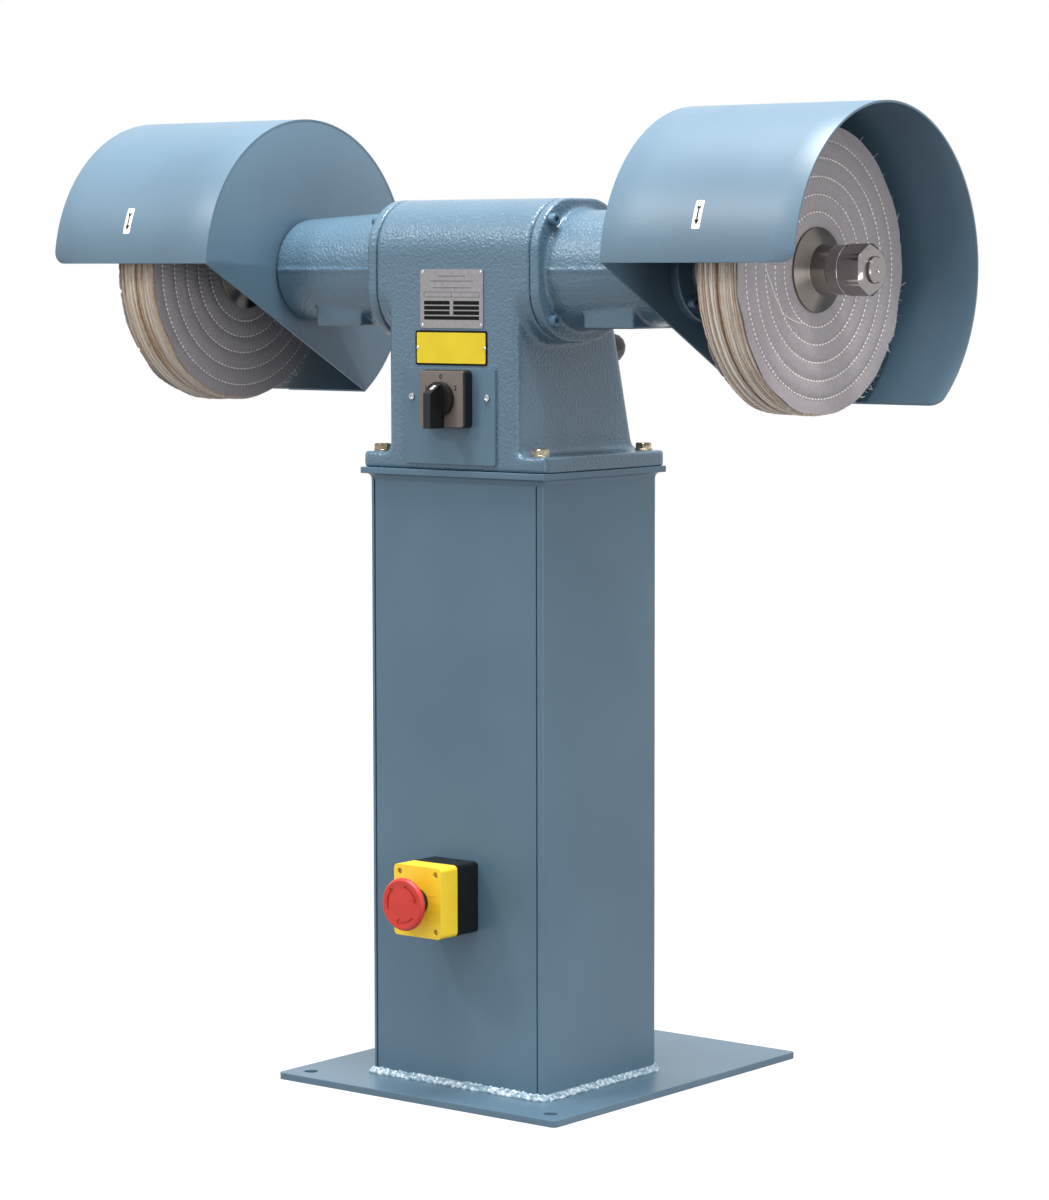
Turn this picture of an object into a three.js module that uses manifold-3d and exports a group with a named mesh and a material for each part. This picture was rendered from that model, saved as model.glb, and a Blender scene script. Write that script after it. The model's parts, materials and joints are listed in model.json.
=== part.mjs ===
// Double-ended pedestal polishing machine: a cast motor housing on a welded sheet-steel pedestal,
// with a cloth mop under an open-sided guard at each end of one long spindle.
//
// Millimetres, +Z up. The origin lies on the floor, under the centre of the pedestal column.
// -Y is the operator's side and +X is the operator's right.

import * as THREE from 'three';
import { mergeVertices } from 'three/addons/utils/BufferGeometryUtils.js';
import Module from 'manifold-3d';

const wasm = await Module();
wasm.setup();

// Facet counts

const BORE_SIDES = 48;
const TURNED_SIDES = 28;
const MOP_SIDES = 28;
const INNER_SIDES = 20;
const SMALL_SIDES = 12;
const TINY_SIDES = 8;
const BEND_STEPS = 3;
const CAST_CORNER_STEPS = 6;
const GUARD_STEPS = 36;
const GUARD_INSIDE_SIDES = 60;
const HEX_SIDES = 6;

// Clearances

const CUT_OVERRUN = 5;
const SEAT_GAP = 0.3;
const RUNNING_GAP = 0.5;
const THREAD_GAP = 0.3;
const MERGE_DISTANCE = 1e-4;

// Pedestal

const BASE_WIDTH = 405;
const BASE_DEPTH = 460;
const BASE_THICKNESS = 8;
const BASE_CORNER_RADIUS = 6;
const BASE_SHIFT_X = -8;
const BASE_SHIFT_Y = 57;
const ANCHOR_HOLE_RADIUS = 8;
const ANCHOR_HOLE_INSET = 27;

const COLUMN_WIDTH = 250;
const COLUMN_DEPTH = 212;
const COLUMN_HEIGHT = 690;
const COLUMN_WALL = 4;
const COLUMN_BEND_RADIUS = 7;
const COLUMN_LIP_WIDTH = 20;
const FRONT_PANEL_THICKNESS = 3;
const FRONT_PANEL_GROOVE = 2;

const WELD_LEG = 7;
const FILLET_HOLLOW_SHARE = 0.34;

const TOP_PLATE_OVERHANG = 8;
const TOP_PLATE_THICKNESS = 7;
const TOP_PLATE_CORNER_RADIUS = 4;
const CABLE_PASSAGE_RADIUS = 30;

// Motor housing casting

const SPINDLE_HEIGHT = 927;
const HOUSING_FRONT_INSET = 4;
const BARREL_HALF_SIDE = 79;
const BARREL_CORNER_RADIUS = 60;
const BARREL_END_REACH = 17;
const BODY_EDGE_RADIUS = 8;
const BODY_EDGE_STEPS = 2;
const HOUSING_WALL = 9;
const REAR_SLOPE_STEP = 7;
const FOOT_FLANGE_THICKNESS = 18;
const FOOT_FLANGE_INSET = 1;
const FOOT_SHELF_WIDTH = 39;
const FOOT_FLANGE_CORNER_RADIUS = 8;
const MOTOR_BORE_RADIUS = 71;
const BARREL_FLOOR = 9;
const WIRE_HOLE_RADIUS = 9;
const WIRE_HOLE_INSET = 31;
const SWITCH_APERTURE_WIDTH = 96;
const SWITCH_APERTURE_HEIGHT = 80;

// Fasteners

const FOOT_BOLT_INSET_X = 18;
const FOOT_BOLT_INSET_Y = 19;
const FOOT_BOLT_RADIUS = 5;
const FOOT_BOLT_FLATS = 17;
const FOOT_BOLT_HEAD_HEIGHT = 6.4;
const FOOT_BOLT_TAIL = 3;
const FOOT_WASHER_RADIUS = 10;
const FOOT_WASHER_THICKNESS = 2;
const FOOT_BOLT_HOLE_RADIUS = 5.5;

const CAP_SCREW_RADIUS = 4;
const CAP_SCREW_HEAD_RADIUS = 6.5;
const CAP_SCREW_HEAD_HEIGHT = 8;
const CAP_SCREW_SOCKET_FLATS = 6;
const CAP_SCREW_SOCKET_DEPTH = 4;
const ARM_SCREW_CIRCLE = 78;
const ARM_SCREW_BITE = 12;
const SCREWS_PER_RING = 4;

// Bearing arms

const ARM_FLANGE_THICKNESS = 13;
const ARM_ROOT_RADIUS = 67;
const ARM_ROOT_FILLET = 4;
const ARM_TIP_RADIUS = 58.5;
const ARM_TIP_FILLET = 5;
const ARM_LENGTH = 171;
const ARM_CAVITY_RADIUS = 50;
const ARM_SHOULDER_THICKNESS = 8;
const ARM_SHOULDER_RADIUS = 29;
const ARM_SPIGOT_LENGTH = 4;
const PARTING_RIDGE_WIDTH = 1.6;
const PARTING_RIDGE_HEIGHT = 0.9;
const ARM_PAD_REACH = 50;
const ARM_PAD_LENGTH = 69;
const ARM_PAD_FRONT_OFFSET = 47;

// Bearings

const BEARING_WIDTH = 17;
const BEARING_OUTER_RADIUS = 36;
const BEARING_BORE_RADIUS = 17.5;
const BEARING_SEAT_DEPTH = 24;
const BEARING_LAND_STEP = 3.6;
const BALL_RADIUS = 5.4;
const BALL_ARC_STEPS = 3;

const BEARING_CAP_RADIUS = 57;
const BEARING_CAP_THICKNESS = 12;
const BEARING_CAP_NOSE_RADIUS = 31;
const BEARING_CAP_NOSE_LENGTH = 11;
const BEARING_CAP_BORE_RADIUS = 19;
const BEARING_CAP_SCREW_CIRCLE = 48;
const BEARING_CAP_SCREW_BITE = 10;

// Guards

const GUARD_RADIUS = 175;
const GUARD_WIDTH = 244;
const GUARD_SHEET = 2.5;
const GUARD_SIDE_THICKNESS = 3;
const GUARD_LIP_ANGLE = 177.4;
const GUARD_TAIL_ANGLE = -55.5;
const GUARD_CORNER_RADIUS = 12;
const GUARD_CAP_HOLE_GAP = 1;

// Motor and spindle

const STATOR_HALF_LENGTH = 55;
const STATOR_BORE_RADIUS = 36;
const WINDING_OVERHANG = 25;
const WINDING_INNER_RADIUS = 42;
const WINDING_OUTER_RADIUS = 63;
const ROTOR_AIR_GAP = 0.7;
const ROTOR_END_RING_LENGTH = 9;
const ROTOR_END_RING_RADIUS = 32;

const SHAFT_CORE_RADIUS = 20;
const SHAFT_MOP_SEAT_RADIUS = 15;
const SHAFT_THREAD_RADIUS = 14;
const SHAFT_END_REACH = 130;
const SHAFT_END_CHAMFER = 1.5;
const CENTRE_HOLE_RADIUS = 3.2;
const CENTRE_HOLE_DEPTH = 5;

const MOP_FLANGE_RADIUS = 45;
const MOP_FLANGE_THICKNESS = 8;
const MOP_FLANGE_RIM = 2;
const MOP_HUB_RADIUS = 24;
const MOP_HUB_LENGTH = 46;
const MOP_SEAT_REACH = 100;
const OUTER_BOSS_RADIUS = 26;
const OUTER_BOSS_LENGTH = 19;
const NUT_COLLAR_RADIUS = 26.5;
const NUT_COLLAR_LENGTH = 15;
const NUT_COLLAR_GROOVE = 1;
const NUT_RADIUS = 27.5;
const NUT_FLATS = 50.5;
const NUT_LENGTH = 29;
const NUT_END_RADIUS = 22;
const NUT_CHAMFER = 4;
const SHAFT_END_STICKOUT = 4;

// Cloth mops: two stitched sections on each side

const MOP_RADIUS = 154;
const MOP_THICKNESS = 26.4;
const MOP_STITCH_FIRST = 58;
const MOP_STITCH_PITCH = 19;
const MOP_STITCH_RINGS = 5;
const MOP_PUFF = 2.2;
const MOP_LEAN = 6.5;
const MOP_RIM_ROUND = 2;
const MOP_BORE_GAP = 0.4;

// Plates on the housing's front

const PLATE_THICKNESS = 1;
const PLATE_CORNER_RADIUS = 3;
const RIVET_RADIUS = 1.9;
const RIVET_HEIGHT = 0.9;
const RATING_PLATE = { width: 90, height: 65, x: 1.5, z: 895.5, rivetInset: 3.2 };
const NOTICE_PLATE = { width: 103, height: 38.5, x: 0.5, z: 841, rivetInset: 3.4 };
const COVER_PLATE_WIDTH = 129;
const COVER_PLATE_HEIGHT = 107;
const COVER_PLATE_THICKNESS = 3;
const COVER_PLATE_BOTTOM_Z = 712;
const COVER_PLATE_CORNER_RADIUS = 2;
const COVER_SCREW_X = 54;
const COVER_SCREW_Z = 786.5;
const COVER_SCREW_RADIUS = 2;
const COVER_SCREW_HEAD_RADIUS = 3.8;
const COVER_SCREW_HEAD_HEIGHT = 2.2;
const COVER_SCREW_BITE = 6;
const COVER_SCREW_SOCKET_FLATS = 2.5;
const COVER_SCREW_SOCKET_DEPTH = 1.3;

// Rotary switch

const SWITCH_X = 1;
const SWITCH_Z = 785;
const SWITCH_BASE_SIDE = 64;
const SWITCH_BASE_DEPTH = 14;
const SWITCH_BASE_CORNER_RADIUS = 5;
const SWITCH_FACE_SIDE = 61.5;
const SWITCH_FACE_THICKNESS = 2.5;
const SWITCH_FACE_CORNER_RADIUS = 2;
const SWITCH_NECK_RADIUS = 18;
const SWITCH_BLOCK_SIDE = 46;
const SWITCH_BLOCK_DEPTH = 48;
const SWITCH_SPINDLE_RADIUS = 4;
const SWITCH_SPINDLE_BITE = 10;
const KNOB_DISC_RADIUS = 19.4;
const KNOB_DISC_DEPTH = 6;
const KNOB_GRIP_WIDTH = 10.2;
const KNOB_GRIP_DEPTH = 18;
const KNOB_GRIP_TOP = 17;
const KNOB_GRIP_TAIL = 32;
const KNOB_TOP_SLANT = 10;

// Emergency stop box

const STOP_X = -1;
const STOP_Z = 228;
const STOP_WIDTH = 68;
const STOP_HEIGHT = 80;
const STOP_BASE_DEPTH = 36;
const STOP_COVER_DEPTH = 29;
const STOP_CORNER_RADIUS = 5;
const STOP_WALL = 2.5;
const STOP_SCREW_INSET = 8;
const STOP_SCREW_WELL_RADIUS = 3.6;
const STOP_SCREW_WELL_DEPTH = 5;
const STOP_POST_RADIUS = 6;
const STOP_BEZEL_RADIUS = 15.5;
const STOP_BEZEL_NOSE_RADIUS = 12.5;
const STOP_BEZEL_DEPTH = 8;
const STOP_NECK_RADIUS = 11;
const STOP_NECK_LENGTH = 12;
const STOP_STEM_RADIUS = 7;
const STOP_TRAVEL = 6;
const STOP_BLOCK_WIDTH = 32;
const STOP_BLOCK_HEIGHT = 40;
const STOP_BLOCK_DEPTH = 26;
const STOP_HEAD_RADIUS = 30;
const STOP_HEAD_THICKNESS = 13;
const STOP_HEAD_RIM = 3;
const STOP_HEAD_HUB_RADIUS = 12;
const STOP_HEAD_SOCKET_DEPTH = 6;
const STOP_HEAD_DISH = 1;

// Cable gland on the housing's rear slope

const GLAND_INSET = 27;
const GLAND_Z = 834;
const GLAND_FLATS = 36;
const GLAND_HEX_LENGTH = 11;
const GLAND_DOME_RADIUS = 17.5;
const GLAND_DOME_LENGTH = 18;
const GLAND_LIP_RADIUS = 13;
const GLAND_MOUTH_RADIUS = 9;
const GLAND_THREAD_RADIUS = 15;
const GLAND_THREAD_LENGTH = 16;

// Places worked out from the sizes above

const COLUMN_TOP_Z = BASE_THICKNESS + COLUMN_HEIGHT;
const HOUSING_BOTTOM_Z = COLUMN_TOP_Z + TOP_PLATE_THICKNESS;
const FOOT_FLANGE_TOP_Z = HOUSING_BOTTOM_Z + FOOT_FLANGE_THICKNESS;
const TOP_PLATE_HALF_WIDTH = COLUMN_WIDTH / 2 + TOP_PLATE_OVERHANG;
const TOP_PLATE_HALF_DEPTH = COLUMN_DEPTH / 2 + TOP_PLATE_OVERHANG;
const FOOT_FLANGE_HALF_WIDTH = TOP_PLATE_HALF_WIDTH - FOOT_FLANGE_INSET;
const FOOT_FLANGE_REAR_Y = TOP_PLATE_HALF_DEPTH - FOOT_FLANGE_INSET;
const FOOT_BOLT_X = FOOT_FLANGE_HALF_WIDTH - FOOT_BOLT_INSET_X;
const FOOT_BOLT_Y = FOOT_FLANGE_REAR_Y - FOOT_BOLT_INSET_Y;
const BODY_HALF_WIDTH = FOOT_FLANGE_HALF_WIDTH - FOOT_SHELF_WIDTH;
const BARREL_HALF_LENGTH = BODY_HALF_WIDTH + BARREL_END_REACH;
const HOUSING_FRONT_Y = HOUSING_FRONT_INSET - TOP_PLATE_HALF_DEPTH;
const SPINDLE_Y = HOUSING_FRONT_Y + BARREL_HALF_SIDE;
const REAR_SLOPE_FOOT_Y = FOOT_FLANGE_REAR_Y - REAR_SLOPE_STEP;
const WIRE_HOLE_X = BODY_HALF_WIDTH - WIRE_HOLE_INSET;
const GLAND_X = BODY_HALF_WIDTH - GLAND_INSET;
const COLUMN_FRONT_Y = -COLUMN_DEPTH / 2;
const ARM_FACE_X = BARREL_HALF_LENGTH + ARM_FLANGE_THICKNESS;
const ARM_PAD_START_X = BARREL_HALF_LENGTH + ARM_PAD_REACH;
const ARM_TIP_X = BARREL_HALF_LENGTH + ARM_LENGTH;
const MOP_SEAT_X = ARM_TIP_X + MOP_SEAT_REACH;
const SHAFT_END_X = MOP_SEAT_X + SHAFT_END_REACH;
const NUT_END_X = SHAFT_END_X - SHAFT_END_STICKOUT;
const BALL_PITCH_RADIUS = (BEARING_OUTER_RADIUS + BEARING_BORE_RADIUS) / 2;
const BEARING_OUTER_LAND = BALL_PITCH_RADIUS + BEARING_LAND_STEP;
const BEARING_INNER_LAND = BALL_PITCH_RADIUS - BEARING_LAND_STEP;
const BEARING_SEAT_X = ARM_TIP_X - BEARING_SEAT_DEPTH;
const BEARING_X = BEARING_SEAT_X + SEAT_GAP;
const GUARD_INNER_X = ARM_TIP_X;
const GUARD_OUTER_X = GUARD_INNER_X + GUARD_WIDTH;
const CAP_X = GUARD_INNER_X + GUARD_SIDE_THICKNESS;
const SHAFT_SHOULDER_X = MOP_SEAT_X - MOP_FLANGE_THICKNESS - MOP_HUB_LENGTH;
const OUTER_FLANGE_X = MOP_SEAT_X + 2 * MOP_THICKNESS + 3 * SEAT_GAP;
const OUTER_BOSS_X = OUTER_FLANGE_X + MOP_FLANGE_THICKNESS;
const NUT_X = OUTER_BOSS_X + OUTER_BOSS_LENGTH;
const COVER_PLATE_FRONT_Y = HOUSING_FRONT_Y - COVER_PLATE_THICKNESS;
const SWITCH_FACE_Y = COVER_PLATE_FRONT_Y - SWITCH_BASE_DEPTH;
const KNOB_Y = SWITCH_FACE_Y - SWITCH_FACE_THICKNESS - SEAT_GAP;
const STOP_COVER_Y = COLUMN_FRONT_Y - STOP_BASE_DEPTH;
const STOP_BEZEL_Y = STOP_COVER_Y - STOP_COVER_DEPTH;
const STOP_HEAD_Y = STOP_BEZEL_Y - STOP_BEZEL_DEPTH - STOP_TRAVEL - RUNNING_GAP;

// Finishes

function finish(color, roughness, metalness) {
  return new THREE.MeshStandardMaterial({ color, roughness, metalness });
}

const sheetPaint = finish(0x5f7b8e, 0.42, 0.1);
const castPaint = finish(0x58748a, 0.38, 0.15);
const weldPaint = finish(0x7d95a3, 0.3, 0.2);
const machinedSteel = finish(0xb9b4ae, 0.25, 1);
const zincSteel = finish(0xa9a79c, 0.35, 1);
const bearingSteel = finish(0xc4c8cc, 0.2, 1);
const laminatedSteel = finish(0x6d7072, 0.5, 0.8);
const clothMaterial = finish(0xc9c2bd, 0.95, 0);
const plateAluminium = finish(0xb9bdc0, 0.4, 0.9);
const noticeYellow = finish(0xf2dc1e, 0.5, 0);
const switchGrey = finish(0x9a9089, 0.45, 0.3);
const blackPlastic = finish(0x17191b, 0.45, 0);
const yellowPlastic = finish(0xe9c22c, 0.45, 0);
const redPlastic = finish(0xc9352b, 0.4, 0);

// Turning three.js shapes into solids

function signedVolume(geometry) {
  const position = geometry.attributes.position;
  const index = geometry.index.array;
  const [a, b, c] = [new THREE.Vector3(), new THREE.Vector3(), new THREE.Vector3()];
  let total = 0;
  for (let i = 0; i < index.length; i += 3) {
    a.fromBufferAttribute(position, index[i]);
    b.fromBufferAttribute(position, index[i + 1]);
    c.fromBufferAttribute(position, index[i + 2]);
    total += a.dot(b.cross(c));
  }
  return total;
}

function solid(geometry) {
  const bare = new THREE.BufferGeometry();
  bare.setAttribute('position', geometry.attributes.position);
  if (geometry.index) bare.setIndex(geometry.index);
  const merged = mergeVertices(bare, MERGE_DISTANCE);
  const triangles = Uint32Array.from(merged.index.array);
  if (signedVolume(merged) < 0) {
    for (let i = 0; i < triangles.length; i += 3) {
      [triangles[i + 1], triangles[i + 2]] = [triangles[i + 2], triangles[i + 1]];
    }
  }
  const vertProperties = Float32Array.from(merged.attributes.position.array);
  return new wasm.Manifold(new wasm.Mesh({ numProp: 3, vertProperties, triVerts: triangles }));
}

function joined(...solids) {
  return solids.reduce((whole, piece) => whole.add(piece));
}

function cut(body, ...tools) {
  return tools.reduce((rest, tool) => rest.subtract(tool), body);
}

function meshOf(name, shape, material) {
  const data = shape.getMesh();
  const geometry = new THREE.BufferGeometry();
  geometry.setAttribute('position', new THREE.BufferAttribute(data.vertProperties, 3));
  geometry.setIndex(new THREE.BufferAttribute(data.triVerts, 1));
  geometry.computeVertexNormals();
  const mesh = new THREE.Mesh(geometry, material);
  mesh.name = name;
  return mesh;
}

// Outlines and primitive shapes

const AXIS_X = new THREE.Vector3(1, 0, 0);
const AXIS_Y = new THREE.Vector3(0, 1, 0);
const AXIS_Z = new THREE.Vector3(0, 0, 1);

function outline(points) {
  return new THREE.Shape(points.map(([x, y]) => new THREE.Vector2(x, y)));
}

function arcPoints(centreX, centreY, radius, startDegrees, endDegrees, steps) {
  return Array.from({ length: steps + 1 }, (_, i) => {
    const angle = THREE.MathUtils.degToRad(startDegrees + ((endDegrees - startDegrees) * i) / steps);
    return [centreX + radius * Math.cos(angle), centreY + radius * Math.sin(angle)];
  });
}

function roundedRectanglePoints(width, height, radius, steps = BEND_STEPS) {
  const x = width / 2 - radius;
  const y = height / 2 - radius;
  return [
    ...arcPoints(x, y, radius, 0, 90, steps),
    ...arcPoints(-x, y, radius, 90, 180, steps),
    ...arcPoints(-x, -y, radius, 180, 270, steps),
    ...arcPoints(x, -y, radius, 270, 360, steps),
  ];
}

function polygonPoints(radius, sides, turn = 0) {
  return Array.from({ length: sides }, (_, i) => {
    const angle = turn + (2 * Math.PI * i) / sides;
    return [radius * Math.cos(angle), radius * Math.sin(angle)];
  });
}

function hexagonPoints(acrossFlats) {
  return polygonPoints(acrossFlats / 2 / Math.cos(Math.PI / HEX_SIDES), HEX_SIDES);
}

// The outline's x runs along axisU, its y along axisV, and the depth along their cross product.
function prism(points, depth, axisU, axisV, origin, bevel = {}) {
  const geometry = new THREE.ExtrudeGeometry(outline(points), { depth, bevelEnabled: false, ...bevel });
  const along = new THREE.Vector3().crossVectors(axisU, axisV);
  geometry.applyMatrix4(new THREE.Matrix4().makeBasis(axisU, axisV, along));
  geometry.translate(...origin);
  return solid(geometry);
}

// A plan outline that rises from a height
const slab = (points, z, height, x = 0, y = 0) => prism(points, height, AXIS_X, AXIS_Y, [x, y, z]);

// A front-view outline, x to the right and y up, that grows towards the operator from a plane
const facing = (points, y, depth, x, z, bevel) => prism(points, depth, AXIS_X, AXIS_Z, [x, y, z], bevel);

// A side-view outline, x to the rear and y up, that runs to the right
const sideways = (points, x, length, y, z, bevel) => (
  prism(points, length, AXIS_Y, AXIS_Z, [x, y, z], bevel));

function box(low, high) {
  const size = high.map((value, i) => value - low[i]);
  const geometry = new THREE.BoxGeometry(...size);
  geometry.translate(...low.map((value, i) => value + size[i] / 2));
  return solid(geometry);
}

// A profile of [along, radius] points, turned about the X axis of its own frame
function turnedAlongX(profile, sides = TURNED_SIDES) {
  const geometry = new THREE.LatheGeometry(profile.map(([x, r]) => new THREE.Vector2(r, x)), sides);
  geometry.rotateZ(-Math.PI / 2);
  return solid(geometry);
}

// A profile of [along, radius] points, turned about a line that points towards the operator
function turnedForward(profile, x, y, z, sides = TURNED_SIDES) {
  const geometry = new THREE.LatheGeometry(profile.map(([along, r]) => new THREE.Vector2(r, along)), sides);
  geometry.rotateX(Math.PI);
  geometry.rotateY(Math.PI / sides);
  geometry.translate(x, y, z);
  return solid(geometry);
}

function rod(radius, start, end) {
  return [[start, 0], [start, radius], [end, radius], [end, 0]];
}

function rodAlongX(radius, start, end, sides = SMALL_SIDES) {
  return turnedAlongX(rod(radius, start, end), sides);
}

function rodForward(radius, x, y, z, length, sides = SMALL_SIDES) {
  return turnedForward(rod(radius, 0, length), x, y, z, sides);
}

function rodUp(radius, x, y, z, height, sides = SMALL_SIDES) {
  return slab(polygonPoints(radius, sides), z, height, x, y);
}

// Pedestal pieces

function basePlate() {
  const plan = roundedRectanglePoints(BASE_WIDTH, BASE_DEPTH, BASE_CORNER_RADIUS);
  const plate = slab(plan, 0, BASE_THICKNESS, BASE_SHIFT_X, BASE_SHIFT_Y);
  const holeX = BASE_WIDTH / 2 - ANCHOR_HOLE_INSET;
  const holeY = BASE_DEPTH / 2 - ANCHOR_HOLE_INSET;
  const places = [[-holeX, -holeY], [holeX, -holeY], [0, holeY]];
  const holes = places.map(([x, y]) => rodUp(
    ANCHOR_HOLE_RADIUS, BASE_SHIFT_X + x, BASE_SHIFT_Y + y, -CUT_OVERRUN, BASE_THICKNESS + 2 * CUT_OVERRUN));
  return cut(plate, ...holes);
}

// Bent sheet with two joggled lips, open at the front for the panel
function pedestalColumn() {
  const x = COLUMN_WIDTH / 2;
  const y = COLUMN_DEPTH / 2;
  const r = COLUMN_BEND_RADIUS;
  const innerX = x - COLUMN_WALL;
  const innerY = y - COLUMN_WALL;
  const innerBend = r - COLUMN_WALL;
  const lipX = x - r - COLUMN_LIP_WIDTH;
  const lipFrontY = -y + FRONT_PANEL_THICKNESS;
  const lipBackY = lipFrontY + COLUMN_WALL;
  const plan = [
    [lipX, lipFrontY],
    [x - r, lipFrontY],
    ...arcPoints(x - r, -y + r, r, 270, 360, BEND_STEPS),
    ...arcPoints(x - r, y - r, r, 0, 90, BEND_STEPS),
    ...arcPoints(-x + r, y - r, r, 90, 180, BEND_STEPS),
    ...arcPoints(-x + r, -y + r, r, 180, 270, BEND_STEPS),
    [-x + r, lipFrontY],
    [-lipX, lipFrontY],
    [-lipX, lipBackY],
    [-innerX, lipBackY],
    ...arcPoints(-innerX + innerBend, innerY - innerBend, innerBend, 180, 90, BEND_STEPS),
    ...arcPoints(innerX - innerBend, innerY - innerBend, innerBend, 90, 0, BEND_STEPS),
    [innerX, lipBackY],
    [lipX, lipBackY],
  ];
  return slab(plan, BASE_THICKNESS, COLUMN_HEIGHT);
}

function frontPanel() {
  const halfWidth = COLUMN_WIDTH / 2 - COLUMN_BEND_RADIUS - FRONT_PANEL_GROOVE;
  return box(
    [-halfWidth, COLUMN_FRONT_Y, BASE_THICKNESS],
    [halfWidth, COLUMN_FRONT_Y + FRONT_PANEL_THICKNESS, COLUMN_TOP_Z]);
}

// A fillet weld round the column: a small hollow-faced section swept round its rounded rectangle
function weldBead(z, up) {
  const rise = up * WELD_LEG;
  const section = [
    [SEAT_GAP, 0],
    [WELD_LEG, 0],
    [SEAT_GAP + WELD_LEG * FILLET_HOLLOW_SHARE, rise * FILLET_HOLLOW_SHARE],
    [SEAT_GAP, rise],
  ];
  const rings = section.map(([out, dz]) => {
    const grow = 2 * out;
    const points = roundedRectanglePoints(
      COLUMN_WIDTH + grow, COLUMN_DEPTH + grow, COLUMN_BEND_RADIUS + out);
    return points.map(([x, y]) => [x, y, z + dz]);
  });
  const count = rings[0].length;
  const positions = rings.flat(2);
  const index = [];
  for (let ring = 0; ring < section.length; ring += 1) {
    const next = (ring + 1) % section.length;
    for (let i = 0; i < count; i += 1) {
      const j = (i + 1) % count;
      const [a, b] = [ring * count + i, ring * count + j];
      const [c, d] = [next * count + j, next * count + i];
      index.push(a, b, c, a, c, d);
    }
  }
  const geometry = new THREE.BufferGeometry();
  geometry.setAttribute('position', new THREE.Float32BufferAttribute(positions, 3));
  geometry.setIndex(index);
  return solid(geometry);
}

function footBoltPlaces() {
  return [-1, 1].flatMap((sideX) => [-1, 1].map((sideY) => ({
    name: `${sideX < 0 ? 'left' : 'right'}_${sideY < 0 ? 'front' : 'rear'}`,
    x: sideX * FOOT_BOLT_X,
    y: sideY * FOOT_BOLT_Y,
  })));
}

function topPlate() {
  const plan = roundedRectanglePoints(
    2 * TOP_PLATE_HALF_WIDTH, 2 * TOP_PLATE_HALF_DEPTH, TOP_PLATE_CORNER_RADIUS);
  const plate = slab(plan, COLUMN_TOP_Z, TOP_PLATE_THICKNESS);
  const depth = TOP_PLATE_THICKNESS + 2 * CUT_OVERRUN;
  const tapped = footBoltPlaces().map(({ x, y }) => rodUp(
    FOOT_BOLT_RADIUS + THREAD_GAP, x, y, COLUMN_TOP_Z - CUT_OVERRUN, depth));
  const passage = rodUp(CABLE_PASSAGE_RADIUS, 0, 0, COLUMN_TOP_Z - CUT_OVERRUN, depth);
  return cut(plate, ...tapped, passage);
}

function footBolt({ x, y }) {
  const headZ = FOOT_FLANGE_TOP_Z + FOOT_WASHER_THICKNESS;
  const tailZ = COLUMN_TOP_Z - FOOT_BOLT_TAIL;
  return joined(
    rodUp(FOOT_BOLT_RADIUS, x, y, tailZ, headZ - tailZ),
    rodUp(FOOT_WASHER_RADIUS, x, y, FOOT_FLANGE_TOP_Z, FOOT_WASHER_THICKNESS),
    slab(hexagonPoints(FOOT_BOLT_FLATS), headZ, FOOT_BOLT_HEAD_HEIGHT, x, y));
}

// Motor housing

// Where a line from an outside point touches a circle, on the circle's right-hand side
function tangentDegrees(pointX, pointY, centreX, centreY, radius) {
  const towards = Math.atan2(pointY - centreY, pointX - centreX);
  const reach = Math.hypot(pointX - centreX, pointY - centreY);
  return THREE.MathUtils.radToDeg(towards + Math.acos(radius / reach));
}

function barrelPoints(halfSide, cornerRadius) {
  return roundedRectanglePoints(2 * halfSide, 2 * halfSide, cornerRadius, CAST_CORNER_STEPS);
}

const CORNER_REACH = BARREL_HALF_SIDE - BARREL_CORNER_RADIUS;
const REAR_CORNER_Y = SPINDLE_Y + CORNER_REACH;
const CORNER_Z = SPINDLE_HEIGHT + CORNER_REACH;
const REAR_TANGENT_DEGREES = tangentDegrees(
  REAR_SLOPE_FOOT_Y, FOOT_FLANGE_TOP_Z, REAR_CORNER_Y, CORNER_Z, BARREL_CORNER_RADIUS);
const REAR_SLOPE_ANGLE = THREE.MathUtils.degToRad(REAR_TANGENT_DEGREES);

// The rear face's distance behind the spindle plane at a height, set in by a wall
function rearFaceY(z, inset = 0) {
  const touchY = REAR_CORNER_Y + (BARREL_CORNER_RADIUS - inset) * Math.cos(REAR_SLOPE_ANGLE);
  const touchZ = CORNER_Z + (BARREL_CORNER_RADIUS - inset) * Math.sin(REAR_SLOPE_ANGLE);
  return touchY + (touchZ - z) * Math.tan(REAR_SLOPE_ANGLE);
}

function bodyPoints(bottomZ) {
  return [
    [HOUSING_FRONT_Y, bottomZ],
    [rearFaceY(bottomZ), bottomZ],
    ...arcPoints(
      REAR_CORNER_Y, CORNER_Z, BARREL_CORNER_RADIUS, REAR_TANGENT_DEGREES, 90, CAST_CORNER_STEPS),
    ...arcPoints(SPINDLE_Y - CORNER_REACH, CORNER_Z, BARREL_CORNER_RADIUS, 90, 180, CAST_CORNER_STEPS),
  ];
}

function armScrewPlaces(circle) {
  return Array.from({ length: SCREWS_PER_RING }, (_, i) => {
    const angle = (Math.PI * (2 * i + 1)) / SCREWS_PER_RING;
    return {
      name: ['upper_rear', 'upper_front', 'lower_front', 'lower_rear'][i] ?? `extra_${i}`,
      y: circle * Math.cos(angle),
      z: circle * Math.sin(angle),
    };
  });
}

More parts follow.
